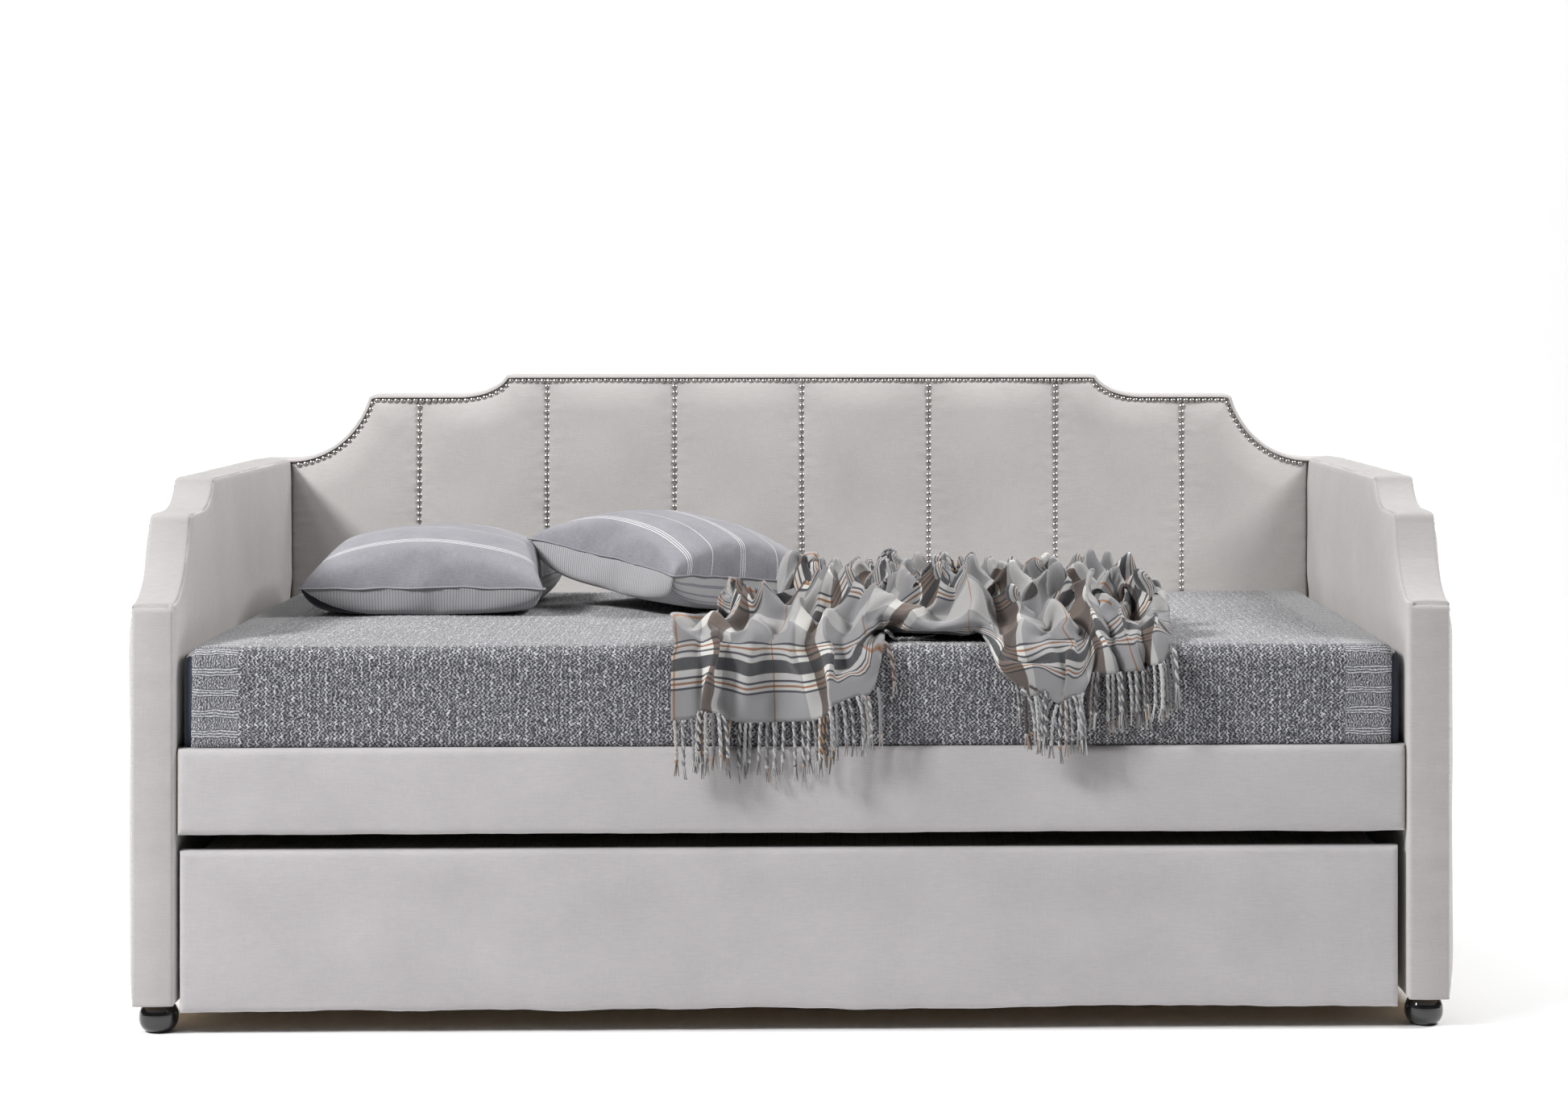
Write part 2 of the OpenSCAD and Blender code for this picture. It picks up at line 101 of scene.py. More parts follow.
def bump(t):
    """Padded rise from 0 at t = 0 to 1 at t = 1."""
    return np.sin(0.5 * math.pi * np.clip(t, 0, 1))


def lookup(at, table, column=1):
    """Linear interpolation in a table: a place first, then its values."""
    return np.interp(at, [row[0] for row in table], [row[column] for row in table])


def points(*axes):
    """Rows of coordinates from one value or array of them for each axis."""
    return np.stack(np.broadcast_arrays(*axes), 1)


def normalised(rows):
    return rows / np.maximum(np.linalg.norm(rows, axis=1)[:, None], 1e-9)


def path_length(line):
    """Distance along an open line, at each of its points."""
    return np.r_[0, np.cumsum(np.linalg.norm(np.diff(line, axis=0), axis=1))]


# ---- outlines ----


def cove(p, q, n=14):
    """Hollow curve from its upper corner p down to q, where it runs out level."""
    a = np.linspace(COVE_START, math.pi / 2, n + 1)
    x = q[0] + (p[0] - q[0]) * np.cos(a) / math.cos(COVE_START)
    z = q[1] + (p[1] - q[1]) * (1 - np.sin(a)) / (1 - math.sin(COVE_START))
    return list(zip(x, z))


def soften(line, r, steps=4):
    """Rounds each sharp corner of an open line with a small curve that starts r before it."""
    pts = [np.array(p, float) for p in line]
    out = [pts[0]]
    for a, b, c in zip(pts, pts[1:], pts[2:]):
        u, v = a - b, c - b
        lu, lv = np.linalg.norm(u), np.linalg.norm(v)
        turn = math.pi - math.acos(np.clip(u @ v / (lu * lv), -1, 1))
        if turn < 0.25:
            out.append(b)
            continue
        s, e = b + u / lu * min(r, lu * 0.45), b + v / lv * min(r, lv * 0.45)
        for t in np.linspace(0, 1, steps + 1):
            out.append((1 - t) ** 2 * s + 2 * t * (1 - t) * b + t * t * e)
    return np.array(out + [pts[-1]])


def resample(line, step):
    line = np.asarray(line, float)
    d = path_length(line)
    s = np.linspace(0, d[-1], max(2, int(round(d[-1] / step)) + 1))
    return np.stack([np.interp(s, d, line[:, k]) for k in range(line.shape[1])], 1)


def back_top(inset, x_end=None):
    """Top edge of the back as (x, z), inset inside its outline, from left to right."""
    i = inset
    half = cove((TOP_X - 0.6 * i, BACK_Z - i), (COVE_X, SHOULDER_Z - i))
    half += cove((SHOULDER_X - 0.6 * i, SHOULDER_Z - i), (IN_X, ARM_Z - i))
    if x_end:
        half.append((x_end, ARM_Z - i))
    return [(-x, z) for x, z in reversed(half)] + half


def arm_top(inset):
    """Top edge of an arm as (depth, z), inset inside its outline, from the front."""
    i = inset
    line = list(reversed(cove((STEP_D + 0.6 * i, STEP_Z - i), (i, ARM_FRONT_Z - i))))
    line += list(reversed(cove((CREST_D + 0.6 * i, ARM_Z - i), (FLAT_D, STEP_Z + 0.002 - i))))
    return line + [(ARM_DEPTH, ARM_Z - i)]


def distance(at, line):
    """Distance of each 2D point to an open line."""
    line = np.asarray(line, float)
    best = np.full(len(at), 1e9)
    for p, q in zip(line[:-1], line[1:]):
        v = q - p
        t = np.clip(((at - p) @ v) / max(v @ v, 1e-12), 0, 1)
        best = np.minimum(best, np.linalg.norm(at - p - t[:, None] * v, axis=1))
    return best


def outward(line):
    """Unit normals to the left of a 2D line."""
    d = normalised(np.gradient(line, axis=0))
    return points(-d[:, 1], d[:, 0])


def rounding(d, r):
    """How far a rounded edge of radius r falls back at distance d inside the outline."""
    inside = np.clip(r - d, 0, r)
    return r - np.sqrt(np.maximum(r * r - inside * inside, 0))


def wobble(at, size, seed=0):
    """Smooth noise from -1 to 1 at each 3D point; size is the size of its lumps, per axis."""
    off = np.array([seed * 7.3, seed * 3.1, seed * 5.7])
    scaled = np.asarray(at, float) / np.asarray(size, float) + off
    return np.array([noise.noise(p) for p in scaled.tolist()])


# ---- meshes ----


def make(name, verts, faces, materials, shade_smooth=True):
    mesh = bpy.data.meshes.new(name)
    mesh.from_pydata(np.asarray(verts, float).tolist(), [], faces)
    mesh.validate()
    bm = bmesh.new()
    bm.from_mesh(mesh)
    bmesh.ops.recalc_face_normals(bm, faces=bm.faces)
    bm.to_mesh(mesh)
    bm.free()
    if shade_smooth:
        mesh.shade_smooth()
    for material in materials if isinstance(materials, (list, tuple)) else [materials]:
        mesh.materials.append(material)
    obj = bpy.data.objects.new(name, mesh)
    bpy.context.scene.collection.objects.link(obj)
    return obj


def grid_faces(nu, nv, start=0, wrap_u=False, wrap_v=False):
    """Quads of a grid stored as index = start + u * nv + v."""
    u = np.arange(nu if wrap_u else nu - 1)
    v = np.arange(nv if wrap_v else nv - 1)
    uu, vv = np.meshgrid(u, v, indexing="ij")
    u1, v1 = (uu + 1) % nu, (vv + 1) % nv
    quads = np.stack([uu * nv + vv, u1 * nv + vv, u1 * nv + v1, uu * nv + v1], -1)
    return (quads.reshape(-1, 4) + start).tolist()


def border(nu, nv):
    """Indices round the edge of such a grid, in order."""
    ring = [(i, 0) for i in range(nu)] + [(nu - 1, j) for j in range(1, nv)]
    ring += [(i, nv - 1) for i in range(nu - 2, -1, -1)] + [(0, j) for j in range(nv - 2, 0, -1)]
    return [i * nv + j for i, j in ring]


def settle(obj, body, replaces=()):
    """Ties a finished piece to its body and hides the CAD nodes it stands for."""
    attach(obj, body)
    if replaces:
        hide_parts(*replaces)
    return obj


def upholster(obj, node, body="daybed"):
    settle(obj, body, [node])


EDGE = np.array([0, 0.0008, 0.002, 0.004, 0.007, 0.011, 0.016])


def edged(lo, hi, step):
    """Values from lo to hi about step apart, closer together at both ends."""
    inner = np.linspace(lo + EDGE[-1], hi - EDGE[-1], max(3, int((hi - lo) / step)))
    return np.r_[lo + EDGE[:-1], inner, hi - EDGE[:-1][::-1]]


def panel(name, us, top, z0, step, height, to_frame, depth, material):
    """A padded panel between the height z0 and a top edge given over us. height(u, z) is how
    far its face stands out, to_frame(u, z, out) maps it, and its base lies depth behind."""
    us, span = np.asarray(us), np.asarray(top) - z0
    share = np.linspace(0, 1, max(3, int(max(span) / step)))[1:-1, None]
    low = EDGE[:, None] + 0 * span
    high = span - EDGE[::-1, None]
    z = (np.vstack([low, low[-1] + (high[0] - low[-1]) * share, high]) + z0).T
    nu, nv = z.shape
    u, z = np.repeat(us[:, None], nv, 1).ravel(), z.ravel()
    ring = border(nu, nv)
    verts = np.vstack([to_frame(u, z, height(u, z)), to_frame(u[ring], z[ring], -depth)])
    n, k = nu * nv, len(ring)
    faces = grid_faces(nu, nv)
    faces += [[ring[a], ring[(a + 1) % k], n + (a + 1) % k, n + a] for a in range(k)]
    faces.append([n + a for a in range(k)])
    return make(name, verts, faces, material)


def strip(name, line, section, to_frame, material, lift=None):
    """Sweeps a closed section of (across, out) points along a line and caps its ends."""
    line, section = np.asarray(line), np.asarray(section)
    n, m = len(line), len(section)
    out = np.repeat(section[None, :, 1], n, 0)
    across = np.repeat(section[None, :, 0], n, 0)
    if lift is not None:
        out = out + np.where(section[None, :, 1] > -0.004, 1, 0) * lift(line)[:, None]
    pts = line[:, None, :] + outward(line)[:, None, :] * out[:, :, None]
    verts = to_frame(pts.reshape(-1, 2), across.ravel())
    faces = grid_faces(n, m, wrap_v=True) + [list(range(m)), [(n - 1) * m + k for k in range(m)]]
    return make(name, verts, faces, material)


def band_section(x0, x1, t, r, crown, tongue=0.0, n=6, m=12):
    """Section of a fabric band from x0 to x1, t thick, with an optional thin tongue past x1."""
    a = np.linspace(0, math.pi / 2, n)
    f = np.linspace(0, 1, m)[1:-1]
    pts = [(x0, -t)] + list(zip(x0 + r - r * np.cos(a), -r + r * np.sin(a)))
    pts += list(zip(x0 + r + (x1 - x0 - 2 * r) * f, crown * np.sin(math.pi * f)))
    pts += list(zip(x1 - r + r * np.cos(a[::-1]), -r + r * np.sin(a[::-1])))
    if tongue:
        pts += [(x1, -t), (x1, -tongue), (x1 - 0.002, -tongue), (x1 - 0.002, -t)]
    else:
        pts += [(x1, -t)]
    return pts


def domes(name, places, normal, radius, material, sides=10):
    """Round nailheads at the places, all facing along normal, each a little different."""
    normal = Vector(normal).normalized()
    side = normal.orthogonal().normalized()
    up = normal.cross(side)
    rings = [(1.0, -0.12), (1.0, 0.08), (0.86, 0.30), (0.50, 0.50)]
    verts, faces = [], []
    for p in places:
        base, size = len(verts), radius * rng.uniform(0.95, 1.04)
        tilt = [rng.uniform(-0.07, 0.07) for _ in range(2)]
        for wide, high in rings:
            for k in range(sides):
                a = 2 * math.pi * k / sides
                c, s = wide * math.cos(a), wide * math.sin(a)
                lean = high + tilt[0] * c + tilt[1] * s
                verts.append(Vector(p) + size * (c * side + s * up + lean * normal))
        verts.append(Vector(p) + size * 0.58 * normal)
        for r in range(len(rings) - 1):
            for k in range(sides):
                a, b = base + r * sides, base + (r + 1) * sides
                faces.append([a + k, a + (k + 1) % sides, b + (k + 1) % sides, b + k])
        last, crest = base + (len(rings) - 1) * sides, base + len(rings) * sides
        faces += [[last + k, last + (k + 1) % sides, crest] for k in range(sides)]
        faces.append([base + k for k in range(sides - 1, -1, -1)])
    return make(name, [tuple(v) for v in verts], faces, material)


def box_grid(lo, hi, steps, r):
    """Points and quads of a box with rounded edges of radius r."""
    bm = bmesh.new()
    axes = [edged_box(lo[k], hi[k], steps[k], r) for k in range(3)]
    for k in range(3):
        a, b = axes[(k + 1) % 3], axes[(k + 2) % 3]
        for end in (lo[k], hi[k]):
            made = [bm.verts.new(np.roll((end, p, q), k)) for p in a for q in b]
            for quad in grid_faces(len(a), len(b)):
                bm.faces.new([made[i] for i in quad])
    bmesh.ops.remove_doubles(bm, verts=bm.verts, dist=1e-6)
    bm.verts.index_update()
    verts = np.array([v.co[:] for v in bm.verts])
    faces = [[v.index for v in f.verts] for f in bm.faces]
    bm.free()
    inner = np.clip(verts, np.array(lo) + r, np.array(hi) - r)
    away = verts - inner
    size = np.linalg.norm(away, axis=1)[:, None]
    return inner + away / np.maximum(size, 1e-9) * np.minimum(size, r), faces


def edged_box(lo, hi, step, r):
    near = r * np.array([0, 0.35, 0.7, 1.0])
    inner = np.linspace(lo + r, hi - r, max(2, int((hi - lo) / step)))
    return np.r_[lo + near[:-1], inner, hi - near[:-1][::-1]]


def tube(line, radius, sides=8, closed=True):
    """Verts and faces of a round cord along 3D points."""
    pts = np.asarray(line, float)
    ahead = np.roll(pts, -1, 0) - np.roll(pts, 1, 0)
    if not closed:
        ahead[0], ahead[-1] = pts[1] - pts[0], pts[-1] - pts[-2]
    ahead = normalised(ahead)
    ref = np.array([0, 0, 1.0]) if abs(ahead[:, 2]).mean() < 0.8 else np.array([1.0, 0, 0])
    side = normalised(np.cross(ahead, ref))
    up = np.cross(side, ahead)
    a = np.linspace(0, 2 * math.pi, sides, endpoint=False)
    radius = np.broadcast_to(radius, len(pts))[:, None, None]
    ring = side[:, None] * np.cos(a)[None, :, None] + up[:, None] * np.sin(a)[None, :, None]
    verts = (pts[:, None] + ring * radius).reshape(-1, 3)
    faces = grid_faces(len(pts), sides, wrap_u=closed, wrap_v=True)
    if not closed:
        faces += [list(range(sides)), [(len(pts) - 1) * sides + k for k in range(sides)]]
    return verts, faces


def joined(parts):
    """One list of verts and one of faces from several."""
    verts, faces, n = [], [], 0
    for v, f in parts:
        verts.append(np.asarray(v))
        faces += [[i + n for i in face] for face in f]
        n += len(v)
    return np.vstack(verts), faces


# ---- materials ----


class Shade:
    """A small helper to write a node material in few lines."""

    def __init__(self, name, **constants):
        self.material = bpy.data.materials.new(name)
        self.material.use_nodes = True
        self.tree = self.material.node_tree
        self.bsdf = self.tree.nodes["Principled BSDF"]
        for key, value in constants.items():
            self.bsdf.inputs[key.replace("_", " ")].default_value = value

    def node(self, kind, settings=None, **inputs):
        node = self.tree.nodes.new("ShaderNode" + kind)
        for key, value in (settings or {}).items():
            setattr(node, key, value)
        for key, value in inputs.items():
            socket = node.inputs[int(key[1:])] if key[0] == "i" and key[1:].isdigit() else \
                node.inputs[key.replace("_", " ")]
            if isinstance(value, bpy.types.NodeSocket):
                self.tree.links.new(value, socket)
            else:
                socket.default_value = value
        return node

    def place(self, scale=(1, 1, 1)):
        """Object coordinates, so a pattern has its true size and runs on across pieces."""
        coord = self.node("TexCoord").outputs["Object"]
        return self.node("Mapping", Vector=coord, Scale=scale).outputs[0]

    def noise(self, scale, detail=2.0, at=(1, 1, 1), rough=0.5, vector=None):
        vector = vector or self.place(at)
        return self.node("TexNoise", Vector=vector, Scale=scale, Detail=detail,
                         Roughness=rough).outputs["Fac"]

    def math(self, op, a, b=0.0, c=0.0):
        return self.node("Math", {"operation": op}, i0=a, i1=b, i2=c).outputs[0]

    def add(self, a, b):
        return self.math("ADD", a, b)

    def times(self, a, b):
        return self.math("MULTIPLY", a, b)

    def scaled(self, a, k, b):
        """a * k + b"""
        return self.math("MULTIPLY_ADD", a, k, b)

    def cycle(self, value, pitch):
        """0 to 1 over each pitch."""
        return self.math("FRACT", self.math("DIVIDE", value, pitch))

    def split(self, vector):
        """Its first two coordinates."""
        return self.node("SeparateXYZ", Vector=vector).outputs[:2]

    def uv(self, layer):
        return self.node("UVMap", {"uv_map": layer}).outputs[0]

    def ramp(self, value, *stops):
        node = self.node("ValToRGB", Fac=value)
        elements = node.color_ramp.elements
        while len(elements) < len(stops):
            elements.new(0.5)
        for element, (place, colour) in zip(elements, stops):
            element.position = place
            element.color = (*colour, 1.0) if len(colour) == 3 else colour
        return node.outputs["Color"]

    def mix(self, fac, a, b, blend="MIX"):
        """Mixes two colours, each a socket or a triple."""
        node = self.tree.nodes.new("ShaderNodeMix")
        node.data_type, node.blend_type = "RGBA", blend
        for socket, value in ((node.inputs[0], fac), (node.inputs[6], a), (node.inputs[7], b)):
            if isinstance(value, bpy.types.NodeSocket):
                self.tree.links.new(value, socket)
            else:
                socket.default_value = (*value, 1.0) if isinstance(value, tuple) else value
        return node.outputs[2]

    def tints(self, fac, colour, low, high):
        """Mixes a darker and a lighter tint of one colour."""
        return self.mix(fac, tinted(colour, low), tinted(colour, high))

    def span(self, value, lo, hi):
        return self.node("MapRange", Value=value, i3=lo, i4=hi).outputs[0]

    def finish(self, colour, rough, height=None, strength=0.3, distance=0.001):
        self.tree.links.new(colour, self.bsdf.inputs["Base Color"])
        self.tree.links.new(rough, self.bsdf.inputs["Roughness"])
        if height is not None:
            bumped = self.node("Bump", Height=height, Strength=strength, Distance=distance)
            self.tree.links.new(bumped.outputs[0], self.bsdf.inputs["Normal"])
        return self.material


def tinted(colour, k):
    return tuple(min(1.0, c * k) for c in colour)


def upholstery_material(name, colour):
    """Short-pile woven upholstery: fine crosswise slubs, a faint warp and a soft sheen."""
    s = Shade(name, Sheen_Weight=0.25, Sheen_Roughness=0.45, Specular_IOR_Level=0.2)
    weft = s.noise(1.0, 3.0, at=(60, 60, 850))
    warp = s.noise(1.0, 2.0, at=(800, 800, 70))
    mottle = s.noise(7.0, 3.0)
    pile = s.noise(620.0, 1.0)
    weave = s.add(s.times(weft, 0.62), s.times(warp, 0.38))
    tone = s.add(s.times(weave, 0.62), s.times(mottle, 0.38))
    tone = s.node("MapRange", Value=tone, i1=0.33, i2=0.67).outputs[0]
    base = s.tints(tone, colour, 0.86, 1.09)
    base = s.mix(s.times(pile, 0.22), base, tinted(colour, 1.14))
    height = s.add(weave, s.times(pile, 0.5))
    return s.finish(base, s.span(mottle, 0.80, 0.96), height, 0.35, 0.0009)


def metal_material(name, colour, rough):
    """Bare or plated metal with fine marks and uneven polish."""
    s = Shade(name, Metallic=1.0)
    fine = s.noise(1.0, 3.0, at=(300, 300, 300))
    patch = s.noise(60.0, 2.0)
    base = s.tints(patch, colour, 0.80, 1.08)
    return s.finish(base, s.span(patch, rough * 0.7, rough * 1.3), fine, 0.08, 0.0004)


def wood_material(name, pale, dark, along):
    """Planed timber with long grain along X, Y or Z."""
    s = Shade(name, Specular_IOR_Level=0.35)
    scale = [34.0, 34.0, 34.0]
    scale["XYZ".index(along)] = 2.0
    grain = s.noise(1.0, 5.0, at=scale, rough=0.62)
    fine = s.noise(1.0, 2.0, at=[v * 14 for v in scale])
    base = s.ramp(grain, (0.30, dark), (0.50, pale), (0.62, tinted(pale, 1.08)), (0.75, dark))
    base = s.mix(s.times(fine, 0.35), base, tinted(dark, 0.75))
    return s.finish(base, s.span(grain, 0.45, 0.68), fine, 0.15, 0.0006)


def gloss_material(name, colour, rough):
    """Lacquered or moulded surface with faint orange peel and dust."""
    s = Shade(name, Coat_Weight=0.6, Coat_Roughness=0.08)
    peel = s.noise(140.0, 2.0)
    dust = s.noise(18.0, 4.0)
    base = s.tints(dust, colour, 0.8, 1.5)
    return s.finish(base, s.span(dust, rough * 0.7, rough * 1.4), peel, 0.05, 0.0005)


# One upholstery fabric in three copies, as painted light and shade: the copy on the back and the
# arm pads is painted lighter, and the copies on the rail and the arm bands are painted darker with
# slightly different tints. Each is set for how the light falls on its part.
BACK_CLOTH_LIT_COPY = upholstery_material("upholstery_back_lit_copy", (0.492, 0.470, 0.460))
RAIL_CLOTH_SHADED_COPY = upholstery_material("upholstery_rail_shaded_copy", (0.447, 0.430, 0.437))
BAND_CLOTH_SHADED_COPY = upholstery_material("upholstery_band_shaded_copy", (0.425, 0.406, 0.403))
NAIL_METAL = metal_material("nailhead_pewter", (0.60, 0.575, 0.54), 0.30)


def dress_frame():
    """Gives each CAD part that stays visible a finish of its own."""
    looks = {
        "plywood": wood_material("plywood_birch", (0.62, 0.47, 0.30), (0.46, 0.32, 0.18), "Z"),
        "timber": wood_material("timber_pine", (0.66, 0.50, 0.31), (0.50, 0.34, 0.18), "X"),
        "zinc_steel": metal_material("steel_zinc", (0.58, 0.59, 0.60), 0.35),
        "gloss_black": gloss_material("lacquer_black", (0.012, 0.012, 0.013), 0.16),
        "wheel_plastic": gloss_material("wheel_grey", (0.05, 0.05, 0.055), 0.42),
    }
    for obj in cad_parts.values():
        for slot in obj.material_slots:
            base = slot.material.name.split(".")[0] if slot.material else ""
            if base in looks:
                slot.material = looks[base]


# ---- back ----


def back_front():
    """Channelled front of the back: eight padded channels under a border along the top."""
    edge = back_top(BACK_BORDER)
    us = np.linspace(-IN_X, IN_X, CHANNELS * 48 + 1)
    top = lookup(us, edge)

    def height(u, z):
        near = np.abs((u / CHANNEL_PITCH + 0.5) % 1 - 0.5) * CHANNEL_PITCH
        d = distance(points(u, z), edge)
        at = points(u, 0, z)
        crown = bump(near / (CHANNEL_PITCH / 2)) ** 0.62
        under_top = bump((d - NAIL_R) / 0.060) ** 0.75
        channelled = smooth((z - 0.50) / 0.08)
        pucker = wobble(at, (0.030, 1, 0.011), 1) * np.exp(-near / 0.022) * 0.0016 * channelled
        pucker += wobble(at, (0.013, 1, 0.035), 2) * np.exp(-d / 0.020) * 0.0014
        rise = 0.0140 * (1 - channelled * (1 - crown)) * under_top
        drift = wobble(at, 0.11, 3) * 0.0016
        return -0.0055 + rise + pucker + drift - rounding(d, 0.003)

    def to_frame(u, z, out):
        return points(u, BACK_Y - out, z)

    obj = panel("back_front", us, top, FOOT_Z, 0.0055, height, to_frame, 0.029, BACK_CLOTH_LIT_COPY)
    upholster(obj, "back_pad")


def back_border():
    """Boxing that wraps the top and side edges of the back."""
    edge = [(-OUT_X, FOOT_Z)] + back_top(0, OUT_X) + [(OUT_X, FOOT_Z)]
    line = resample(soften(edge, 0.020), 0.006)
    section = band_section(BACK_Y + 0.0005, REAR_Y, BACK_BORDER, 0.0055, 0.0012)

    def to_frame(p, across):
        return points(p[:, 0], across, p[:, 1])

    def lift(line):
        return wobble(np.c_[line, 0 * line[:, 0]], (0.02, 0.02, 1), 4) * 0.0007

    obj = strip("back_border", line, section, to_frame, BACK_CLOTH_LIT_COPY, lift)
    upholster(obj, "back_edge_band")


def back_rear():
    """Plain cover over the rear of the back, pulled over its edges, with two seams."""
    inset = 0.003
    edge = back_top(inset, OUT_X - inset)
    us = np.linspace(-OUT_X + inset, OUT_X - inset, 263)
    top = lookup(us, edge)
    ring = [(-OUT_X + inset, FOOT_Z)] + edge + [(OUT_X - inset, FOOT_Z), (-OUT_X + inset, FOOT_Z)]
    seams = (-0.345, 0.345)

    def height(u, z):
        at = points(u, 0, z)
        d = distance(points(u, z), ring)
        seam = sum(np.exp(-((u - s) / 0.005) ** 2) for s in seams)
        sag = wobble(at, (0.30, 1, 0.22), 5) * 0.0022 + wobble(at, (0.03, 1, 0.10), 6) * 0.0006
        return -0.001 - rounding(d, 0.004) + sag * smooth(d / 0.06) - 0.0022 * seam

    def to_frame(u, z, out):
        return points(u, REAR_Y + out, z)

    obj = panel("back_rear", us, top, FOOT_Z, 0.009, height, to_frame, 0.0065, BACK_CLOTH_LIT_COPY)
    upholster(obj, "back_rear_cover")


def back_nails():
    """One row along the top edge and one down each valley between two channels."""
    seat = BACK_Y + 0.0040
    row = np.array(back_top(NAIL_LINE))
    row = resample(row[np.abs(row[:, 0]) < IN_X - 0.003], NAIL_PITCH)
    top = [(x, seat, z) for x, z in row]
    obj = domes("nails_back_top", top, (0, -1, 0), NAIL_R, NAIL_METAL)
    settle(obj, "daybed", ["back_top_nail_trim"])
    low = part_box("back_channel_nail_trim")[0].z
    down = []
    for k in range(1, CHANNELS):
        x = (k - CHANNELS / 2) * CHANNEL_PITCH
        high = np.interp(x, row[:, 0], row[:, 1]) - NAIL_PITCH * 0.9
        for z in np.arange(high, low, -NAIL_PITCH):
            down.append((x + rng.uniform(-0.0004, 0.0004), seat, z))
    obj = domes("nails_back_channels", down, (0, -1, 0), NAIL_R, NAIL_METAL)
    settle(obj, "daybed", ["back_channel_nail_trim"])


# ---- arms ----


def arm_ring(inset, rear=ARM_DEPTH):
    """Closed outline of an arm as (depth, z), inset inside it."""
    top = arm_top(inset)
    return [(inset, FOOT_Z)] + top[:-1] + [(rear, top[-1][1]), (rear, FOOT_Z), (inset, FOOT_Z)]


def arm_pad(name, side, inset, face_x, way, height, depth):
    """Padded panel on one face of an arm; way is 1 if it faces outwards, -1 if it faces the bed."""
    us = edged(inset, ARM_DEPTH, 0.008)

    def to_frame(u, z, out):
        return points(side * (face_x + way * out), FRONT_Y + u, z)

    tag = "left" if side < 0 else "right"
    obj = panel(name + "_" + tag, us, lookup(us, arm_top(inset)), FOOT_Z, 0.008, height, to_frame,
                depth, BACK_CLOTH_LIT_COPY)
    upholster(obj, name + "_pad_" + tag)


def arm_inner(side):
    ring = arm_ring(SEAM_IN, ARM_DEPTH + 0.05)

    def height(u, z):
        at = points(u, side, z)
        d = distance(points(u, z), ring)
        free = smooth((z - 0.60) / 0.05)
        drift = (wobble(at, 0.14, 8) * 0.0018 + wobble(at, (0.02, 1, 0.05), 9) * 0.0005) * free
        return -0.0012 + 0.0035 * bump(d / 0.07) * free + drift - rounding(d, 0.0085)

    arm_pad("arm_inner", side, SEAM_IN, IN_X, -1, height, 0.011)


def arm_outer(side):
    ring = arm_ring(SIDE_BORDER)
    full = PAD_X - SIDE_X

    def height(u, z):
        at = points(u, side, z)
        d = distance(points(u, z), ring)
        drift = wobble(at, 0.16, 11) * 0.0022
        drift += wobble(at, (0.02, 1, 0.03), 12) * 0.0008 * np.exp(-d / 0.04)
        return 0.001 + (full - 0.002) * bump(d / 0.12) ** 0.75 + drift - rounding(d, 0.003)

    arm_pad("arm_outer", side, SIDE_BORDER, SIDE_X, 1, height, 0)


def arm_band(side, tag):
    """Boxing up the front of the arm and back over its top, with a seam across at the front."""
    edge = [(0, FOOT_Z)] + arm_top(0)
    line = resample(soften(edge, 0.016), 0.0035)
    section = band_section(IN_X + 0.0045, OUT_X, BAND_T, 0.006, 0.0022, tongue=SIDE_BORDER + 0.002)
    seam_z = ARM_FRONT_Z - 0.004

    def to_frame(p, across):
        return points(side * across, FRONT_Y + p[:, 0], p[:, 1])

    def lift(line):
        pull = wobble(np.c_[line, 0 * line[:, 0] + side], (0.03, 0.03, 1), 13) * 0.0010
        on_front = np.where(line[:, 0] < 0.004, 1, 0)
        return pull - 0.0050 * np.exp(-((line[:, 1] - seam_z) / 0.0032) ** 2) * on_front

    obj = strip("arm_band_cloth_" + tag, line, section, to_frame, BAND_CLOTH_SHADED_COPY, lift)
    upholster(obj, "arm_band_" + tag)


def arm_nails(side, tag):
    inset = 0.011
    edge = [(inset, FOOT_Z + 0.012)] + arm_top(inset)[:-1] + [(ARM_DEPTH - 0.008, ARM_Z - inset)]
    row = resample(soften(edge, 0.010), SIDE_NAIL_PITCH)
    places = [(side * OUT_X, FRONT_Y + d, z) for d, z in row]
    obj = domes("nails_arm_" + tag, places, (side, 0, 0), SIDE_NAIL_R, NAIL_METAL)
    settle(obj, "daybed", ["arm_nail_trim_" + tag])


# ---- rail and trundle front ----


def padded_board(name, node, body, edge_r, wave, seed):
    """A board wrapped in padded cloth: rounded edges, small puckers and a wavy lower edge."""
    lo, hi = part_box(node)
    crown = 0.003
    us = edged(lo.x, hi.x, 0.008)
    mid = (lo.z + hi.z) / 2

    def height(u, z):
        at = points(u, 0, z)
        d = np.minimum.reduce([u - lo.x, hi.x - u, z - lo.z, hi.z - z])
        puckers = wobble(at, (0.018, 1, 0.05), seed) * 0.0011 * np.exp(-d / 0.020)
        drift = wobble(at, (0.16, 1, 0.07), seed + 1) * 0.0016 * smooth(d / 0.02)
        return -crown + crown * bump(d / 0.05) + puckers + drift - rounding(d, edge_r)

    def to_frame(u, z, out):
        sway = wobble(points(u, 0, 0), (0.13, 1, 1), seed + 2) * wave
        sway += wobble(points(u, 0, 0), (0.035, 1, 1), seed + 3) * wave * 0.45
        low_part = np.clip((mid - z) / (mid - lo.z), 0, 1) ** 2
        return points(u, lo.y - out, z + sway * low_part)

    obj = panel(name, us, 0 * us + hi.z, lo.z, 0.007, height, to_frame,
                hi.y - lo.y + 0.001, RAIL_CLOTH_SHADED_COPY)
    upholster(obj, node, body)


def rail_and_trundle_front():
    padded_board("rail_cloth", "front_rail_cover", "daybed", 0.010, 0.0014, 20)
    padded_board("trundle_front_cloth", "trundle_front_cover", "trundle", 0.009, 0.0035, 30)


# ---- cloth helpers ----


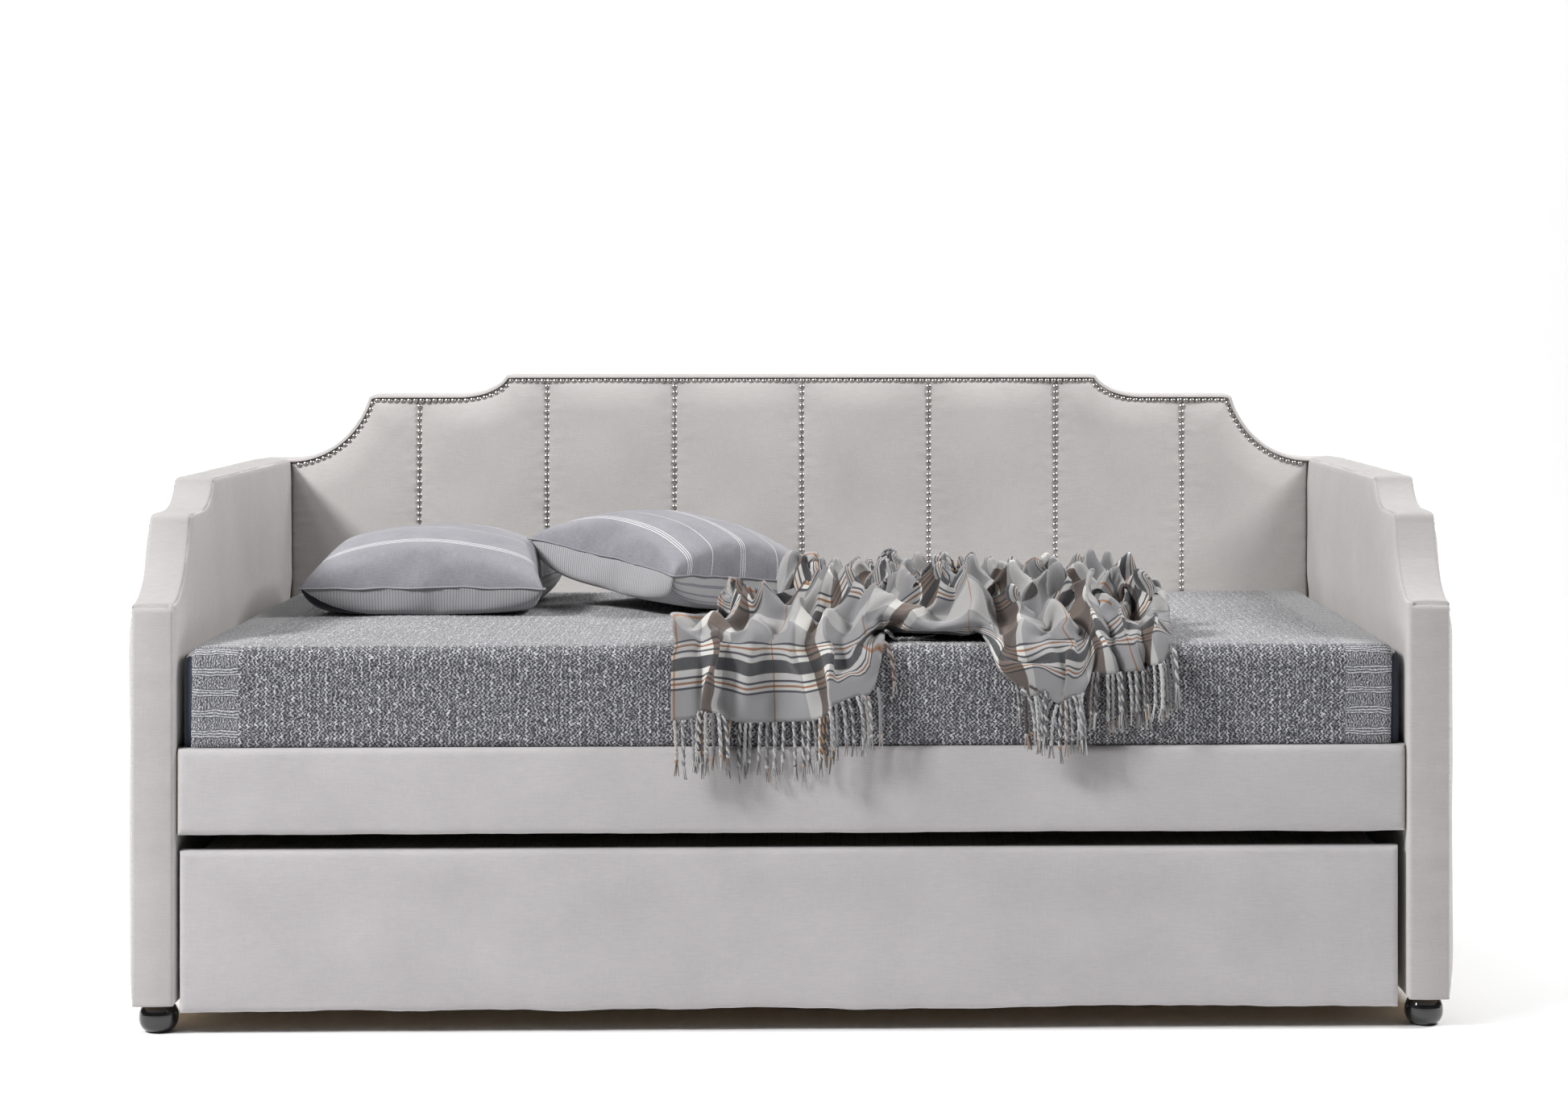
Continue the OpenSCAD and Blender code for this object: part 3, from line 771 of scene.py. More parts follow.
def set_uv(obj, layer, coords):
    """A named UV layer that holds cloth coordinates in metres, one pair for each vertex."""
    mesh = obj.data
    uv = mesh.uv_layers.new(name=layer)
    loops = np.empty(len(mesh.loops), int)
    mesh.loops.foreach_get("vertex_index", loops)
    uv.data.foreach_set("uv", np.asarray(coords, float)[loops].ravel())


def settled(obj):
    """The piece's vertices as its modifiers leave them."""
    mesh = obj.evaluated_get(bpy.context.evaluated_depsgraph_get()).data
    co = np.empty(len(mesh.vertices) * 3)
    mesh.vertices.foreach_get("co", co)
    return co.reshape(-1, 3)


def apply_modifiers(obj):
    evaluated = obj.evaluated_get(bpy.context.evaluated_depsgraph_get())
    mesh = bpy.data.meshes.new_from_object(evaluated)
    obj.modifiers.clear()
    obj.data = mesh
    mesh.shade_smooth()


def refine(obj, levels=1, thickness=0.0):
    sub = obj.modifiers.new("subdivide", "SUBSURF")
    sub.levels = sub.render_levels = levels
    sub.boundary_smooth = "PRESERVE_CORNERS"
    if thickness:
        solid = obj.modifiers.new("thickness", "SOLIDIFY")
        solid.thickness, solid.offset = thickness, 0.0
    apply_modifiers(obj)


def add_cloth(obj, frames, pins=None, **settings):
    """A Cloth modifier with every frame that will be stepped in its cache."""
    modifier = obj.modifiers.new("cloth", "CLOTH")
    if pins is not None:
        obj.vertex_groups.new(name="pin").add([int(i) for i in pins], 1.0, "REPLACE")
        modifier.settings.vertex_group_mass = "pin"
    for key, value in settings.items():
        owner = modifier.collision_settings if hasattr(modifier.collision_settings, key) \
            else modifier.settings
        setattr(owner, key, value)
    modifier.point_cache.frame_start, modifier.point_cache.frame_end = 1, frames
    bpy.context.scene.frame_end = max(bpy.context.scene.frame_end, frames)
    return modifier


def step(frames):
    """Steps a simulation through its frames, from 0."""
    for f in range(frames + 1):
        bpy.context.scene.frame_set(f)


# ---- mattresses and knitted blanket ----


def mattress(node, body, sides, top, quilt=0.0, roll=0.024, steps=(0.03, 0.03, 0.03),
             recess=0.0):
    """Rounded block with piping along its upper and lower edges; its top may be quilted, and
    below the rail's top edge its front may stand back by a recess."""
    lo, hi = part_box(node)
    verts, faces = box_grid(tuple(lo), tuple(hi), steps, roll)
    centre = (np.array(lo) + np.array(hi)) / 2
    half = (np.array(hi) - np.array(lo)) / 2
    inner = np.min(half[:2] - np.abs(verts[:, :2] - centre[:2]), axis=1)
    on_top = verts[:, 2] > hi.z - 0.0005
    sag = wobble(verts, (0.25, 0.2, 1), 41) * 0.003 * smooth(inner / 0.1)
    verts[:, 2] -= np.where(on_top, np.abs(sag), 0)
    if quilt:
        a, b = (verts[:, 0] + verts[:, 1]) / quilt, (verts[:, 0] - verts[:, 1]) / quilt
        tuft = np.minimum(np.abs(np.sin(math.pi * a / 2)), np.abs(np.sin(math.pi * b / 2)))
        verts[:, 2] -= np.where(on_top, 0.007 * (1 - bump(tuft * 1.6) ** 0.8), 0)
    low_on_side = np.abs(verts[:, 2] - centre[2]) < half[2] - roll * 0.8
    dent = wobble(verts, (0.12, 0.12, 0.05), 42) * 0.002
    push = (verts[:, :2] - centre[:2]) / half[:2]
    for k in (0, 1):
        outer = np.abs(push[:, k]) > 0.999
        verts[:, k] -= np.where(outer & low_on_side, np.sign(push[:, k]) * np.abs(dent), 0)
    parts = [(verts, faces)]
    body_faces = len(faces)
    for z in (hi.z - roll * 0.55, lo.z + roll * 0.55):
        x, y, r = half[0] - 0.0035, half[1] - 0.0035, roll
        loop = []
        for cx, cy, a0 in ((1, 1, 0), (-1, 1, 90), (-1, -1, 180), (1, -1, 270)):
            for a in np.radians(a0 + np.linspace(0, 90, 5)):
                loop.append((centre[0] + cx * (x - r) + r * math.cos(a),
                             centre[1] + cy * (y - r) + r * math.sin(a), z))
        line = resample(loop + [loop[0]], 0.025)[:-1]
        parts.append(tube(line, PIPING_R, 7))
    verts, faces = joined(parts)
    behind = lo.y + recess * smooth((RAIL_Z + 0.008 - verts[:, 2]) / 0.008)
    verts[:, 1] = np.where(recess > 0, np.maximum(verts[:, 1], behind), verts[:, 1])
    obj = make(node + "_ticking", verts, faces, [sides, top])
    for polygon in obj.data.polygons[:body_faces]:
        if polygon.normal.z > 0.55:
            polygon.material_index = 1
    settle(obj, body, [node])


def ticking_material(name, base, line, pitch, size):
    """Mattress ticking: fine woven stripes across X over a soft plain weave."""
    s = Shade(name, Sheen_Weight=0.15, Specular_IOR_Level=0.25)
    wave = s.cycle(s.split(s.place())[0], pitch)
    fine = s.noise(500.0, 1.0)
    mottle = s.noise(12.0, 2.0)
    base = s.tints(mottle, base, 0.93, 1.05)
    stripe = s.math("LESS_THAN", wave, size)
    colour = s.mix(s.times(stripe, 0.8), base, line)
    return s.finish(colour, s.span(mottle, 0.8, 0.95), fine, 0.3, 0.0006)


def knit_material():
    """Black, grey and white yarn in curled raised stitches, with ribbed ends. On the flat top the
    yarn is painted lighter, as painted light: it stands in for the stronger light there and for
    the shaded gaps between stitches that the low view hides."""
    s = Shade("knit_melange", Sheen_Weight=0.3, Specular_IOR_Level=0.15)
    uv = s.uv("knit")
    x, along = s.split(uv)
    drift, shake = [s.split(s.node("TexNoise", Vector=uv, Scale=scale).outputs["Color"])
                    for scale in (34.0, 125.0)]
    x2 = s.scaled(drift[0], 0.012, s.scaled(shake[0], 0.0085, x))
    down = s.scaled(drift[1], 0.014, s.scaled(shake[1], 0.0085, along))
    curl = s.math("SINE", s.times(down, 2 * math.pi / KNIT_COURSE))
    turn = s.scaled(x2, 4 * math.pi / KNIT_WALE, s.times(curl, 1.7))
    ridge = s.scaled(s.math("COSINE", turn), 0.5, 0.5)
    column = s.math("COSINE", s.times(x2, 2 * math.pi / KNIT_WALE))
    broken = s.scaled(s.noise(95.0, 1.0, vector=uv), 1.5, -0.05)
    stitch = s.times(s.times(ridge, broken), s.scaled(column, 0.14, 0.86))
    end = s.math("GREATER_THAN", s.math("ABSOLUTE", x), KNIT_HIGH.x - KNIT_END)
    phase = s.cycle(s.scaled(drift[1], 0.010, along), KNIT_RIB)
    plain = s.math("GREATER_THAN", phase, 0.58)
    lines = s.scaled(s.math("SINE", s.times(phase, 2 * math.pi * 8)), 0.30, 0.46)
    chevron = s.math("COSINE", s.scaled(x2, 2 * math.pi / KNIT_CHEVRON, s.times(curl, 1.2)))
    chevron = s.scaled(chevron, 0.26, 0.34)
    rib = s.node("Mix", i0=plain, i2=chevron, i3=lines).outputs[0]
    relief = s.node("Mix", i0=end, i2=stitch, i3=rib).outputs[0]
    yarn = s.noise(330.0, 2.0, vector=uv, rough=0.7)
    # The colour follows the relief. It is darker in the gaps between stitches, as painted shade. It
    # is lighter on the raised stitches, partly as painted highlight and partly from the pale
    # strands of the yarn.
    value = s.add(s.times(relief, 0.48), s.times(yarn, 0.75))
    front = s.ramp(value, (0.34, (0.030, 0.030, 0.036)), (0.48, (0.105, 0.106, 0.116)),
                   (0.62, (0.29, 0.29, 0.308)), (0.80, (0.64, 0.64, 0.66)))
    # Painted light: a lighter copy of the knit's colours for the flat top, standing in for the
    # stronger light there and for the shaded gaps that the low view hides.
    top_painted_lighter = s.ramp(value, (0.26, (0.075, 0.075, 0.080)), (0.46, (0.19, 0.19, 0.20)),
                    (0.64, (0.38, 0.38, 0.395)), (0.86, (0.64, 0.64, 0.65)))
    # Painted light: past the front's fold the flat top takes the lighter copy.
    colour = s.mix(s.math("GREATER_THAN", along, KNIT_HIGH.z - KNIT_LOW.z + 0.004), front, top_painted_lighter)
    return s.finish(colour, s.span(yarn, 0.85, 0.98), value, 0.8, 0.0028)


KNIT_WALE = 0.0138
KNIT_COURSE = 0.0077
KNIT_RIB = 0.033
KNIT_END = 0.074
KNIT_CHEVRON = 0.0042


def knit_blanket():
    """Knitted blanket laid over the mattress and down its front, with ribbed ends."""
    hang, turn = KNIT_LOW.y + 0.0015, 0.024
    top = KNIT_HIGH.z - 0.0015
    a = np.linspace(math.pi, math.pi / 2, 7)
    corner = list(zip(hang + turn + turn * np.cos(a), top - turn + turn * np.sin(a)))
    front = resample([(hang, KNIT_LOW.z), corner[0]], 0.0040)
    flat = resample([corner[-1], (KNIT_HIGH.y, top)], 0.0062)
    line = np.vstack([front[:-1], resample(corner, 0.0045), flat[1:]])
    along = path_length(line)
    xs = np.linspace(KNIT_LOW.x, KNIT_HIGH.x, 466)
    nu, nv = len(xs), len(line)
    x, s = np.repeat(xs, nv), np.tile(along, nu)
    at = points(x, s, 0)
    warp = wobble(at, 0.026, 51) * 0.0032
    a = np.cos(2 * math.pi * (x + warp) / KNIT_WALE)
    stitch = a * np.cos(math.pi * s / KNIT_COURSE)
    rib = np.where((s / KNIT_RIB) % 1 > 0.55, 0.4, stitch * 0.6)
    ended = np.abs(x) > KNIT_HIGH.x - KNIT_END
    relief = np.where(ended, rib, stitch) * 0.0016
    lumps = wobble(at, 0.13, 52) * 0.0012 + wobble(at, 0.045, 53) * 0.0009
    edge = np.minimum(np.minimum(x - xs[0], xs[-1] - x), np.minimum(s, along[-1] - s))
    out = relief + lumps - 0.004 * (1 - smooth(edge / 0.008))
    normal = outward(line)
    y = np.tile(line[:, 0], nu) + np.tile(normal[:, 0], nu) * out
    z = np.tile(line[:, 1], nu) + np.tile(normal[:, 1], nu) * out
    sway = wobble(points(0, s, np.sign(x)), 0.10, 54) * 0.004 * smooth(np.abs(x) - 0.5)
    obj = make("knit_blanket_cloth", points(x + sway, y, z), grid_faces(nu, nv), KNIT)
    set_uv(obj, "knit", points(x, s))
    settle(obj, "daybed", ["knit_blanket"])


# ---- cushions ----


def chambray_material(name, stripes):
    """Grey-blue chambray with groups of thin white lines at the given places across it."""
    s = Shade(name, Sheen_Weight=0.2, Specular_IOR_Level=0.2)
    uv = s.uv("weave")
    across = s.split(uv)[1]
    warp, weft = [s.noise(1.0, 2.0, vector=s.node("Mapping", Vector=uv, Scale=scale).outputs[0])
                  for scale in ((1500, 90, 1), (90, 1500, 1))]
    mottle = s.noise(16.0, 3.0)
    weave = s.add(s.times(warp, 0.5), s.times(weft, 0.5))
    tone = s.add(s.times(weave, 0.7), s.times(mottle, 0.3))
    tone = s.node("MapRange", Value=tone, i1=0.35, i2=0.65).outputs[0]
    colour = s.mix(tone, (0.205, 0.205, 0.232), (0.335, 0.328, 0.350))
    line = None
    for place, wide in stripes:
        here = s.math("COMPARE", across, place, wide / 2)
        line = here if line is None else s.math("MAXIMUM", line, here)
    broken = s.node("MapRange", Value=warp, i1=0.25, i2=0.5, i3=0.45, i4=0.95).outputs[0]
    colour = s.mix(s.times(line, broken), colour, (0.84, 0.84, 0.85))
    return s.finish(colour, s.span(mottle, 0.82, 0.95), weave, 0.35, 0.0007)


def underside_material(name, tone, shaded_open_end=0.0):
    """Pale ticking with fine grey stripes, for the underside of a cushion. shaded_open_end is half
    the side of a cushion whose case is open at its left end; there a near-black patch is painted
    as the shade inside the opening."""
    s = Shade(name, Sheen_Weight=0.2, Specular_IOR_Level=0.2)
    across, down = s.split(s.uv("weave"))
    stripe = s.math("LESS_THAN", s.cycle(across, 0.0050), 0.30)
    fine = s.noise(420.0, 1.0)
    mottle = s.noise(14.0, 2.0)
    colour = s.tints(mottle, tone, 0.92, 1.06)
    colour = s.mix(s.times(stripe, 0.8), colour, (0.20, 0.20, 0.235))
    # Painted shade: a near-black patch at the open left end stands for the shade inside the case's
    # opening.
    if shaded_open_end:
        edge = s.scaled(down, 4.0, 3.0 * shaded_open_end)
        painted_opening_shade = s.times(s.math("LESS_THAN", across, edge),
                        s.math("LESS_THAN", across, 0.11 - shaded_open_end))
        colour = s.mix(painted_opening_shade, colour, (0.018, 0.019, 0.028))
    return s.finish(colour, s.span(mottle, 0.82, 0.95), fine, 0.3, 0.0006)


def cushion_mesh(name, side, materials):
    """Flat two-sided square with a shared edge, its flat coordinates and its edge's vertices."""
    n = CUSHION_CELLS
    flat = np.linspace(-side / 2, side / 2, n)
    a, b = [m.ravel() for m in np.meshgrid(flat, flat, indexing="ij")]
    ring = border(n, n)
    rest = np.setdiff1d(np.arange(n * n), ring)
    index = np.empty(n * n, int)
    index[ring] = ring
    index[rest] = n * n + np.arange(len(rest))
    faces = grid_faces(n, n)
    under = [[int(index[i]) for i in reversed(f)] for f in faces]
    flat = np.vstack([points(a, b), points(a, b)[rest]])
    half = side / 2
    reach = (1 - (flat[:, 0] / half) ** 2) * (1 - (flat[:, 1] / half) ** 2)
    rise = np.clip(reach, 0, 1) ** 0.42 * np.where(np.arange(len(flat)) < n * n, 1, -1)
    pull = 1 - 0.07 * (1 - np.abs(flat[:, ::-1] / half) ** 2)
    blown = np.c_[flat * pull, rise * 0.075]
    obj = make(name, blown, faces + under, materials)
    for polygon in obj.data.polygons[len(faces):]:
        polygon.material_index = 1
    set_uv(obj, "weave", flat)
    return obj, flat, blown, ring


def cushion_shape(obj, flat, blown):
    """Blows the cushion up as cloth cut to its flat size, so that its edges pucker."""
    sheet = np.c_[flat, np.sign(blown[:, 2]) * 0.002]
    obj.shape_key_add(name="Basis")
    obj.shape_key_add(name="flat").data.foreach_set("co", sheet.ravel())
    modifier = add_cloth(obj, CUSHION_FRAMES, use_pressure=True, uniform_pressure_force=2.4,
                         quality=7, mass=0.3, air_damping=4.0, tension_stiffness=25,
                         compression_stiffness=25, shear_stiffness=8, bending_stiffness=0.25,
                         use_collision=False, use_self_collision=False)
    modifier.settings.rest_shape_key = obj.data.shape_keys.key_blocks["flat"]
    modifier.settings.effector_weights.gravity = 0
    step(CUSHION_FRAMES)
    shape = settled(obj)
    obj.modifiers.clear()
    obj.shape_key_clear()
    reach = np.abs(shape - blown).max(axis=1)[:, None]
    return blown + (shape - blown) * np.minimum(1, 0.035 / np.maximum(reach, 1e-6))


def cushion(name, unit, centre, side, turn, tilt, top_h, low_h, stripes, seed, tone,
            shaded_open_end=False):
    """A square cushion: the unit shape at its side, settled on its flattened underside."""
    top = chambray_material(name + "_chambray", stripes)
    under = underside_material(name + "_ticking", tone, side / 2 if shaded_open_end else 0.0)
    obj, _, _, ring = cushion_mesh(name + "_cover", side, [top, under])
    shape = unit * side
    shape[:, :2] *= side / np.ptp(shape[:, :2], axis=0)
    high, low = shape[:, 2].max(), -shape[:, 2].min()
    up, down = shape[:, 2] * top_h / high, shape[:, 2] / low
    flattened = -low_h * (1 - np.clip(1 + down * 1.25, 0, 1) ** 2.2)
    shape[:, 2] = np.where(shape[:, 2] > 0, up, flattened)
    shape[:, 2] += wobble(shape, 0.10, seed) * 0.004 * (np.abs(shape[:, 2]) / top_h)
    near_seam = np.exp(-np.abs(shape[:, 2]) / 0.020)
    shape[:, 2] += wobble(shape, (0.045, 0.045, 1), seed + 5) * 0.0030 * near_seam
    puckers = wobble(shape, (0.016, 0.016, 1), seed + 7) * 0.0022 * (shape[:, 2] < 0.01)
    shape[:, :2] += puckers[:, None] * np.sign(shape[:, :2]) * near_seam[:, None]
    lean = Matrix.Rotation(tilt, 3, "Y") @ Matrix.Rotation(turn, 3, "Z")
    shape = shape @ np.array(lean).T + np.array(centre)
    shape[:, 2] = np.maximum(shape[:, 2], KNIT_HIGH.z - 0.0005)
    obj.data.vertices.foreach_set("co", shape.ravel())
    seam_verts, seam_faces = tube(shape[ring], SEAM_CORD_R, 6)
    refine(obj, 1)
    settle(obj, "daybed", [name])
    seam = make(name + "_seam", seam_verts, seam_faces, SEAM_CORD)
    set_uv(seam, "weave", np.zeros((len(seam_verts), 2)))
    settle(seam, "daybed")


CUSHION_CELLS = 46
CUSHION_SIM_SIDE = 0.40
CUSHION_FRAMES = 18


def simulated_cushion():
    """The blown-up shape of a cushion, scaled to a side of 1. Both cushions use it: simulated at
    its own side of 0.43 m, the larger one comes out collapsed."""
    obj, flat, blown, _ = cushion_mesh("cushion_trial", CUSHION_SIM_SIDE, [SEAM_CORD] * 2)
    shape = cushion_shape(obj, flat, blown)
    bpy.data.objects.remove(obj)
    return shape / CUSHION_SIM_SIDE


def cushions():
    unit = simulated_cushion()
    left = group(-0.147, 3) + group(-0.060, 1, wide=0.0009) + group(0.050, 3) + group(0.140, 1)
    right = group(-0.150, 3) + group(-0.088, 1) + group(-0.008, 3) + group(0.074, 1)
    right += group(0.165, 2)
    cushion("cushion_left", unit, (-0.655, FRONT_Y + 0.690, 0.665), 0.430, 0.0, 0.0,
            0.100, 0.050, left, 61, (0.36, 0.355, 0.36), shaded_open_end=True)
    cushion("cushion_right", unit, (-0.215, FRONT_Y + 0.712, 0.692), 0.400, math.radians(-45),
            math.radians(9), 0.090, 0.062, right, 62, (0.44, 0.435, 0.44))


def group(place, count, gap=0.0052, wide=0.0014):
    """Thin lines side by side, as (place, width) pairs."""
    return [(place + (k - (count - 1) / 2) * gap, wide) for k in range(count)]


# ---- throw ----

THROW_W, THROW_L = 1.27, 1.27
THROW_STEP = 0.015
THROW_THICK = 0.0014
SLUMP_FRAMES = 14

# How far the cloth and its tassels may stand out in front of the bed
CLOTH_REACH = 0.034
TASSEL_REACH = 0.036

# The places along the hem in the tables below count from 0 to this
HEM_SPAN = 1.52

# How far the hem hangs below the bed's edge, at places along the hem
HANG = ((0, 0.128), (0.50, 0.132), (0.56, 0.08), (0.82, 0.08), (0.86, 0.135), (1.08, 0.132),
        (1.12, 0.06), (1.34, 0.055), (1.52, 0.02))

# Where the hem is turned under the heap instead, from 0 to 1
TUCK = ((0.50, 0), (0.57, 1), (0.80, 1), (0.85, 0), (1.10, 0), (1.13, 0.15), (1.52, 0.1))

# Lines across the throw that are drawn together: distance in from the bed's edge, and the X to
# which places along the hem are brought
GATHERS = (
    (-0.13, ((0, -0.205), (0.50, 0.105), (0.62, 0.16), (0.72, 0.24), (0.82, 0.315), (0.86, 0.335),
             (1.08, 0.462), (1.2, 0.51), (1.36, 0.57), (1.52, 0.63))),
    (0.012, ((0, -0.185), (0.50, 0.10), (0.62, 0.15), (0.72, 0.24), (0.82, 0.315), (0.86, 0.335),
             (1.08, 0.455), (1.2, 0.50), (1.36, 0.55), (1.52, 0.60))),
    (0.20, ((0, -0.085), (0.50, 0.14), (0.80, 0.28), (1.08, 0.41), (1.52, 0.58))),
    (0.46, ((0, 0.0), (0.50, 0.16), (1.08, 0.38), (1.52, 0.55))),
    (1.10, ((0, 0.02), (1.52, 0.52))),
)

# The throw's line from the hem inwards, where it hangs and where its hem is tucked under: distance
# in from the bed's edge, depth behind the front, height
HUNG = ((-0.135, -0.012, 0.487), (-0.03, -0.010, 0.592), (0.0, -0.003, 0.622),
        (0.03, 0.020, 0.638), (0.07, 0.055, 0.648), (0.20, 0.135, 0.664), (0.46, 0.290, 0.672),
        (0.80, 0.440, 0.660), (1.14, 0.600, 0.648))
TUCKED = ((-0.08, 0.150, 0.625), (0.0, 0.070, 0.625), (0.035, 0.044, 0.632), (0.075, 0.040, 0.660),
          (0.14, 0.085, 0.684), (0.46, 0.290, 0.676), (0.80, 0.440, 0.660), (1.14, 0.600, 0.648))

# Number of pleats passed, counted along the hem
PLEATS = ((0, 0), (0.52, 5), (0.84, 7.4), (1.10, 9.4), (1.52, 12.6))


def soft_floor(values, low, sharp):
    """Holds values above low, with a bend that is tighter the larger sharp is."""
    return low + np.logaddexp(0, (values - low) * sharp) / sharp


def throw_shape():
    """The flat sheet drawn together over the bed's edge: its pleats take up part of the cloth's
    width, and crossing folds in the heap part of its length. Returns the flat and the folded
    sheet, and how many points each has along the hem and in from it."""
    s = np.linspace(0, THROW_W, int(THROW_W / THROW_STEP) + 1)
    t = np.linspace(0, THROW_L, int(THROW_L / THROW_STEP) + 1)
    ss, tt = [m.ravel() for m in np.meshgrid(s, t, indexing="ij")]
    hem = ss * HEM_SPAN / THROW_W
    inward = tt - lookup(hem, HANG)
    tuck = smooth(lookup(hem, TUCK))
    line = []
    for k in (1, 2):
        line.append(lookup(inward, HUNG, k) * (1 - tuck) + lookup(inward, TUCKED, k) * tuck)
    depth, height = line
    drawn = np.stack([lookup(hem, g[1]) for g in GATHERS])
    starts = np.array([g[0] for g in GATHERS])
    k = np.clip(np.searchsorted(starts, inward) - 1, 0, len(starts) - 2)
    f = smooth((inward - starts[k]) / (starts[k + 1] - starts[k]))
    pick = np.arange(len(ss))
    x = drawn[k, pick] * (1 - f) + drawn[k + 1, pick] * f

    flat = points(ss, tt)
    at = points(ss, tt, 0)
    on_top = smooth((inward + 0.02) / 0.08)
    phase = 2 * math.pi * lookup(hem, PLEATS) + wobble(at, 0.26, 71) * 1.5 * on_top
    cross = 2 * math.pi * (inward / 0.235) + wobble(at, 0.22, 72) * 2.6 + 0.35 * phase
    pleat = np.cos(phase) + 0.22 * np.cos(2 * phase + 0.6)
    size = 0.0185 + 0.0015 * smooth((inward - 0.05) / 0.12)
    heap = smooth((inward - 0.04) / 0.16)
    fold = size * pleat * (1 - 0.85 * tuck * (1 - heap)) + heap * 0.044 * np.sin(cross)
    fold += wobble(at, 0.08, 73) * 0.006 * heap
    x = x - (0.004 + 0.006 * on_top) * np.sin(2 * phase) + heap * 0.014 * np.cos(cross)
    turn = on_top * math.pi / 2
    depth = depth - fold * np.cos(turn) + heap * 0.020 * np.cos(cross + 0.8)
    height = height + fold * np.sin(turn)
    low = KNIT_HIGH.z + 0.0035
    laid = depth > KNIT_FRONT + 0.008
    height = np.where(laid, soft_floor(height, low, 220), height)
    depth = np.where(~laid & (height < low), np.minimum(depth, KNIT_FRONT - 0.0035), depth)
    shape = points(x, FRONT_Y + depth, height)
    held = np.flatnonzero((np.abs(inward) < 0.008) & (np.arange(len(ss)) // len(t) % 4 == 0))
    return flat, slumped(shape, held, len(s), len(t)), len(s), len(t)


def bed_collider():
    """Block with the shape of the made bed and its rail, only for the cloth to rest on."""
    front, top = KNIT_FRONT - 0.002, KNIT_HIGH.z + 0.001
    profile = [(-0.003, 0.20), (-0.003, RAIL_Z - 0.002), (0.001, RAIL_Z + 0.004),
               (front, RAIL_Z + 0.014), (front, top - 0.021), (front + 0.0035, top - 0.011),
               (front + 0.0105, top - 0.004), (front + 0.0225, top), (1.0, top), (1.0, 0.20)]
    n = len(profile)
    verts = [(x, FRONT_Y + d, z) for x in (-IN_X, IN_X) for d, z in profile]
    faces = [[k, (k + 1) % n, n + (k + 1) % n, n + k] for k in range(n)]
    faces += [list(range(n)), [n + k for k in range(n)]]
    obj = make("bed_collider", verts, faces, KNIT)
    obj.modifiers.new("collision", "COLLISION")
    obj.collision.thickness_outer = 0.004
    obj.collision.cloth_friction = 30
    return obj


def slumped(shape, held, nu, nv):
    """Lets the folds sink under their own weight, held at a few points of the bed's edge."""
    collider = bed_collider()
    obj = make("throw_slump", shape, grid_faces(nu, nv), PLAID)
    add_cloth(obj, SLUMP_FRAMES, held, quality=6, mass=0.25, air_damping=2.0, tension_stiffness=25,
              compression_stiffness=25, shear_stiffness=8, bending_stiffness=0.06,
              tension_damping=10, compression_damping=10, shear_damping=10, bending_damping=0.5,
              use_collision=True, distance_min=0.003, use_self_collision=True,
              self_distance_min=0.004, self_friction=5, collision_quality=3)
    step(SLUMP_FRAMES)
    shape = settled(obj)
    shape[:, 1] = soft_floor(shape[:, 1], FRONT_Y - CLOTH_REACH, 150)
    for done in (obj, collider):
        bpy.data.objects.remove(done)
    return shape


def throw():
    """Plaid throw with knotted tassels along both ends."""
    flat, shape, nu, nv = throw_shape()
    obj = make("throw_cloth", shape, grid_faces(nu, nv), PLAID)
    set_uv(obj, "cloth", flat)
    refine(obj, 1, THROW_THICK)
    settle(obj, "daybed", ["throw"])
    fringe = throw_fringe(shape.reshape(nu, nv, 3))


def bands(*rows):
    """Colour stops of a ramp from rows of start, end and colour."""
    return [(place, colour) for start, end, colour in rows for place in (start, end)]


def plaid_colour(s, across, down):
    """Warp stripes across and weft stripes down, multiplied as woven colours are."""
    warp = s.ramp(s.cycle(s.add(across, 0.05), 0.215), *bands(
        (0.0, 0.242, FIELD), (0.245, 0.257, RUST), (0.260, 0.49, FIELD), (0.495, 0.575, WHITE),
        (0.58, 0.72, TAUPE), (0.725, 0.80, WHITE)), (0.805, FIELD))
    weft = s.ramp(s.cycle(down, 0.235), *bands(
        (0.0, 0.196, FIELD), (0.198, 0.212, NAVY), (0.214, 0.232, WHITE), (0.234, 0.246, RUST),
        (0.248, 0.266, WHITE), (0.268, 0.282, NAVY), (0.284, 0.328, WHITE),
        (0.330, 0.418, CHARCOAL), (0.420, 0.452, WHITE), (0.454, 0.468, NAVY),
        (0.470, 0.498, WHITE), (0.500, 0.512, RUST), (0.514, 0.536, WHITE), (0.538, 0.552, NAVY),
        (0.554, 0.74, FIELD), (0.742, 0.84, WHITE)))
    return s.mix(1.0, warp, weft, "MULTIPLY")


FIELD = (0.47, 0.468, 0.475)
WHITE = (0.80, 0.79, 0.77)
RUST = (0.38, 0.17, 0.065)
TAUPE = (0.155, 0.108, 0.085)
NAVY = (0.040, 0.042, 0.062)
CHARCOAL = (0.045, 0.047, 0.056)
TWILL = 0.0022


def plaid_material():
    """Soft brushed twill in the plaid's colours."""
    s = Shade("throw_plaid", Sheen_Weight=0.3, Specular_IOR_Level=0.15)
    across, down = s.split(s.uv("cloth"))
    colour = plaid_colour(s, across, down)
    twill = s.math("SINE", s.times(s.add(across, down), 2 * math.pi / TWILL))
    twill = s.scaled(twill, 0.5, 0.5)
    fuzz = s.noise(700.0, 2.0)
    mottle = s.noise(30.0, 2.0)
    weave = s.add(s.times(twill, 0.4), s.times(fuzz, 0.6))
    colour = s.mix(s.times(weave, 0.16), colour, s.mix(0.4, colour, (0.80, 0.80, 0.79)))
    colour = s.mix(s.times(fuzz, 0.35), colour, s.mix(0.6, colour, (0.18, 0.18, 0.19)))
    return s.finish(colour, s.span(mottle, 0.85, 0.97), weave, 0.4, 0.0008)


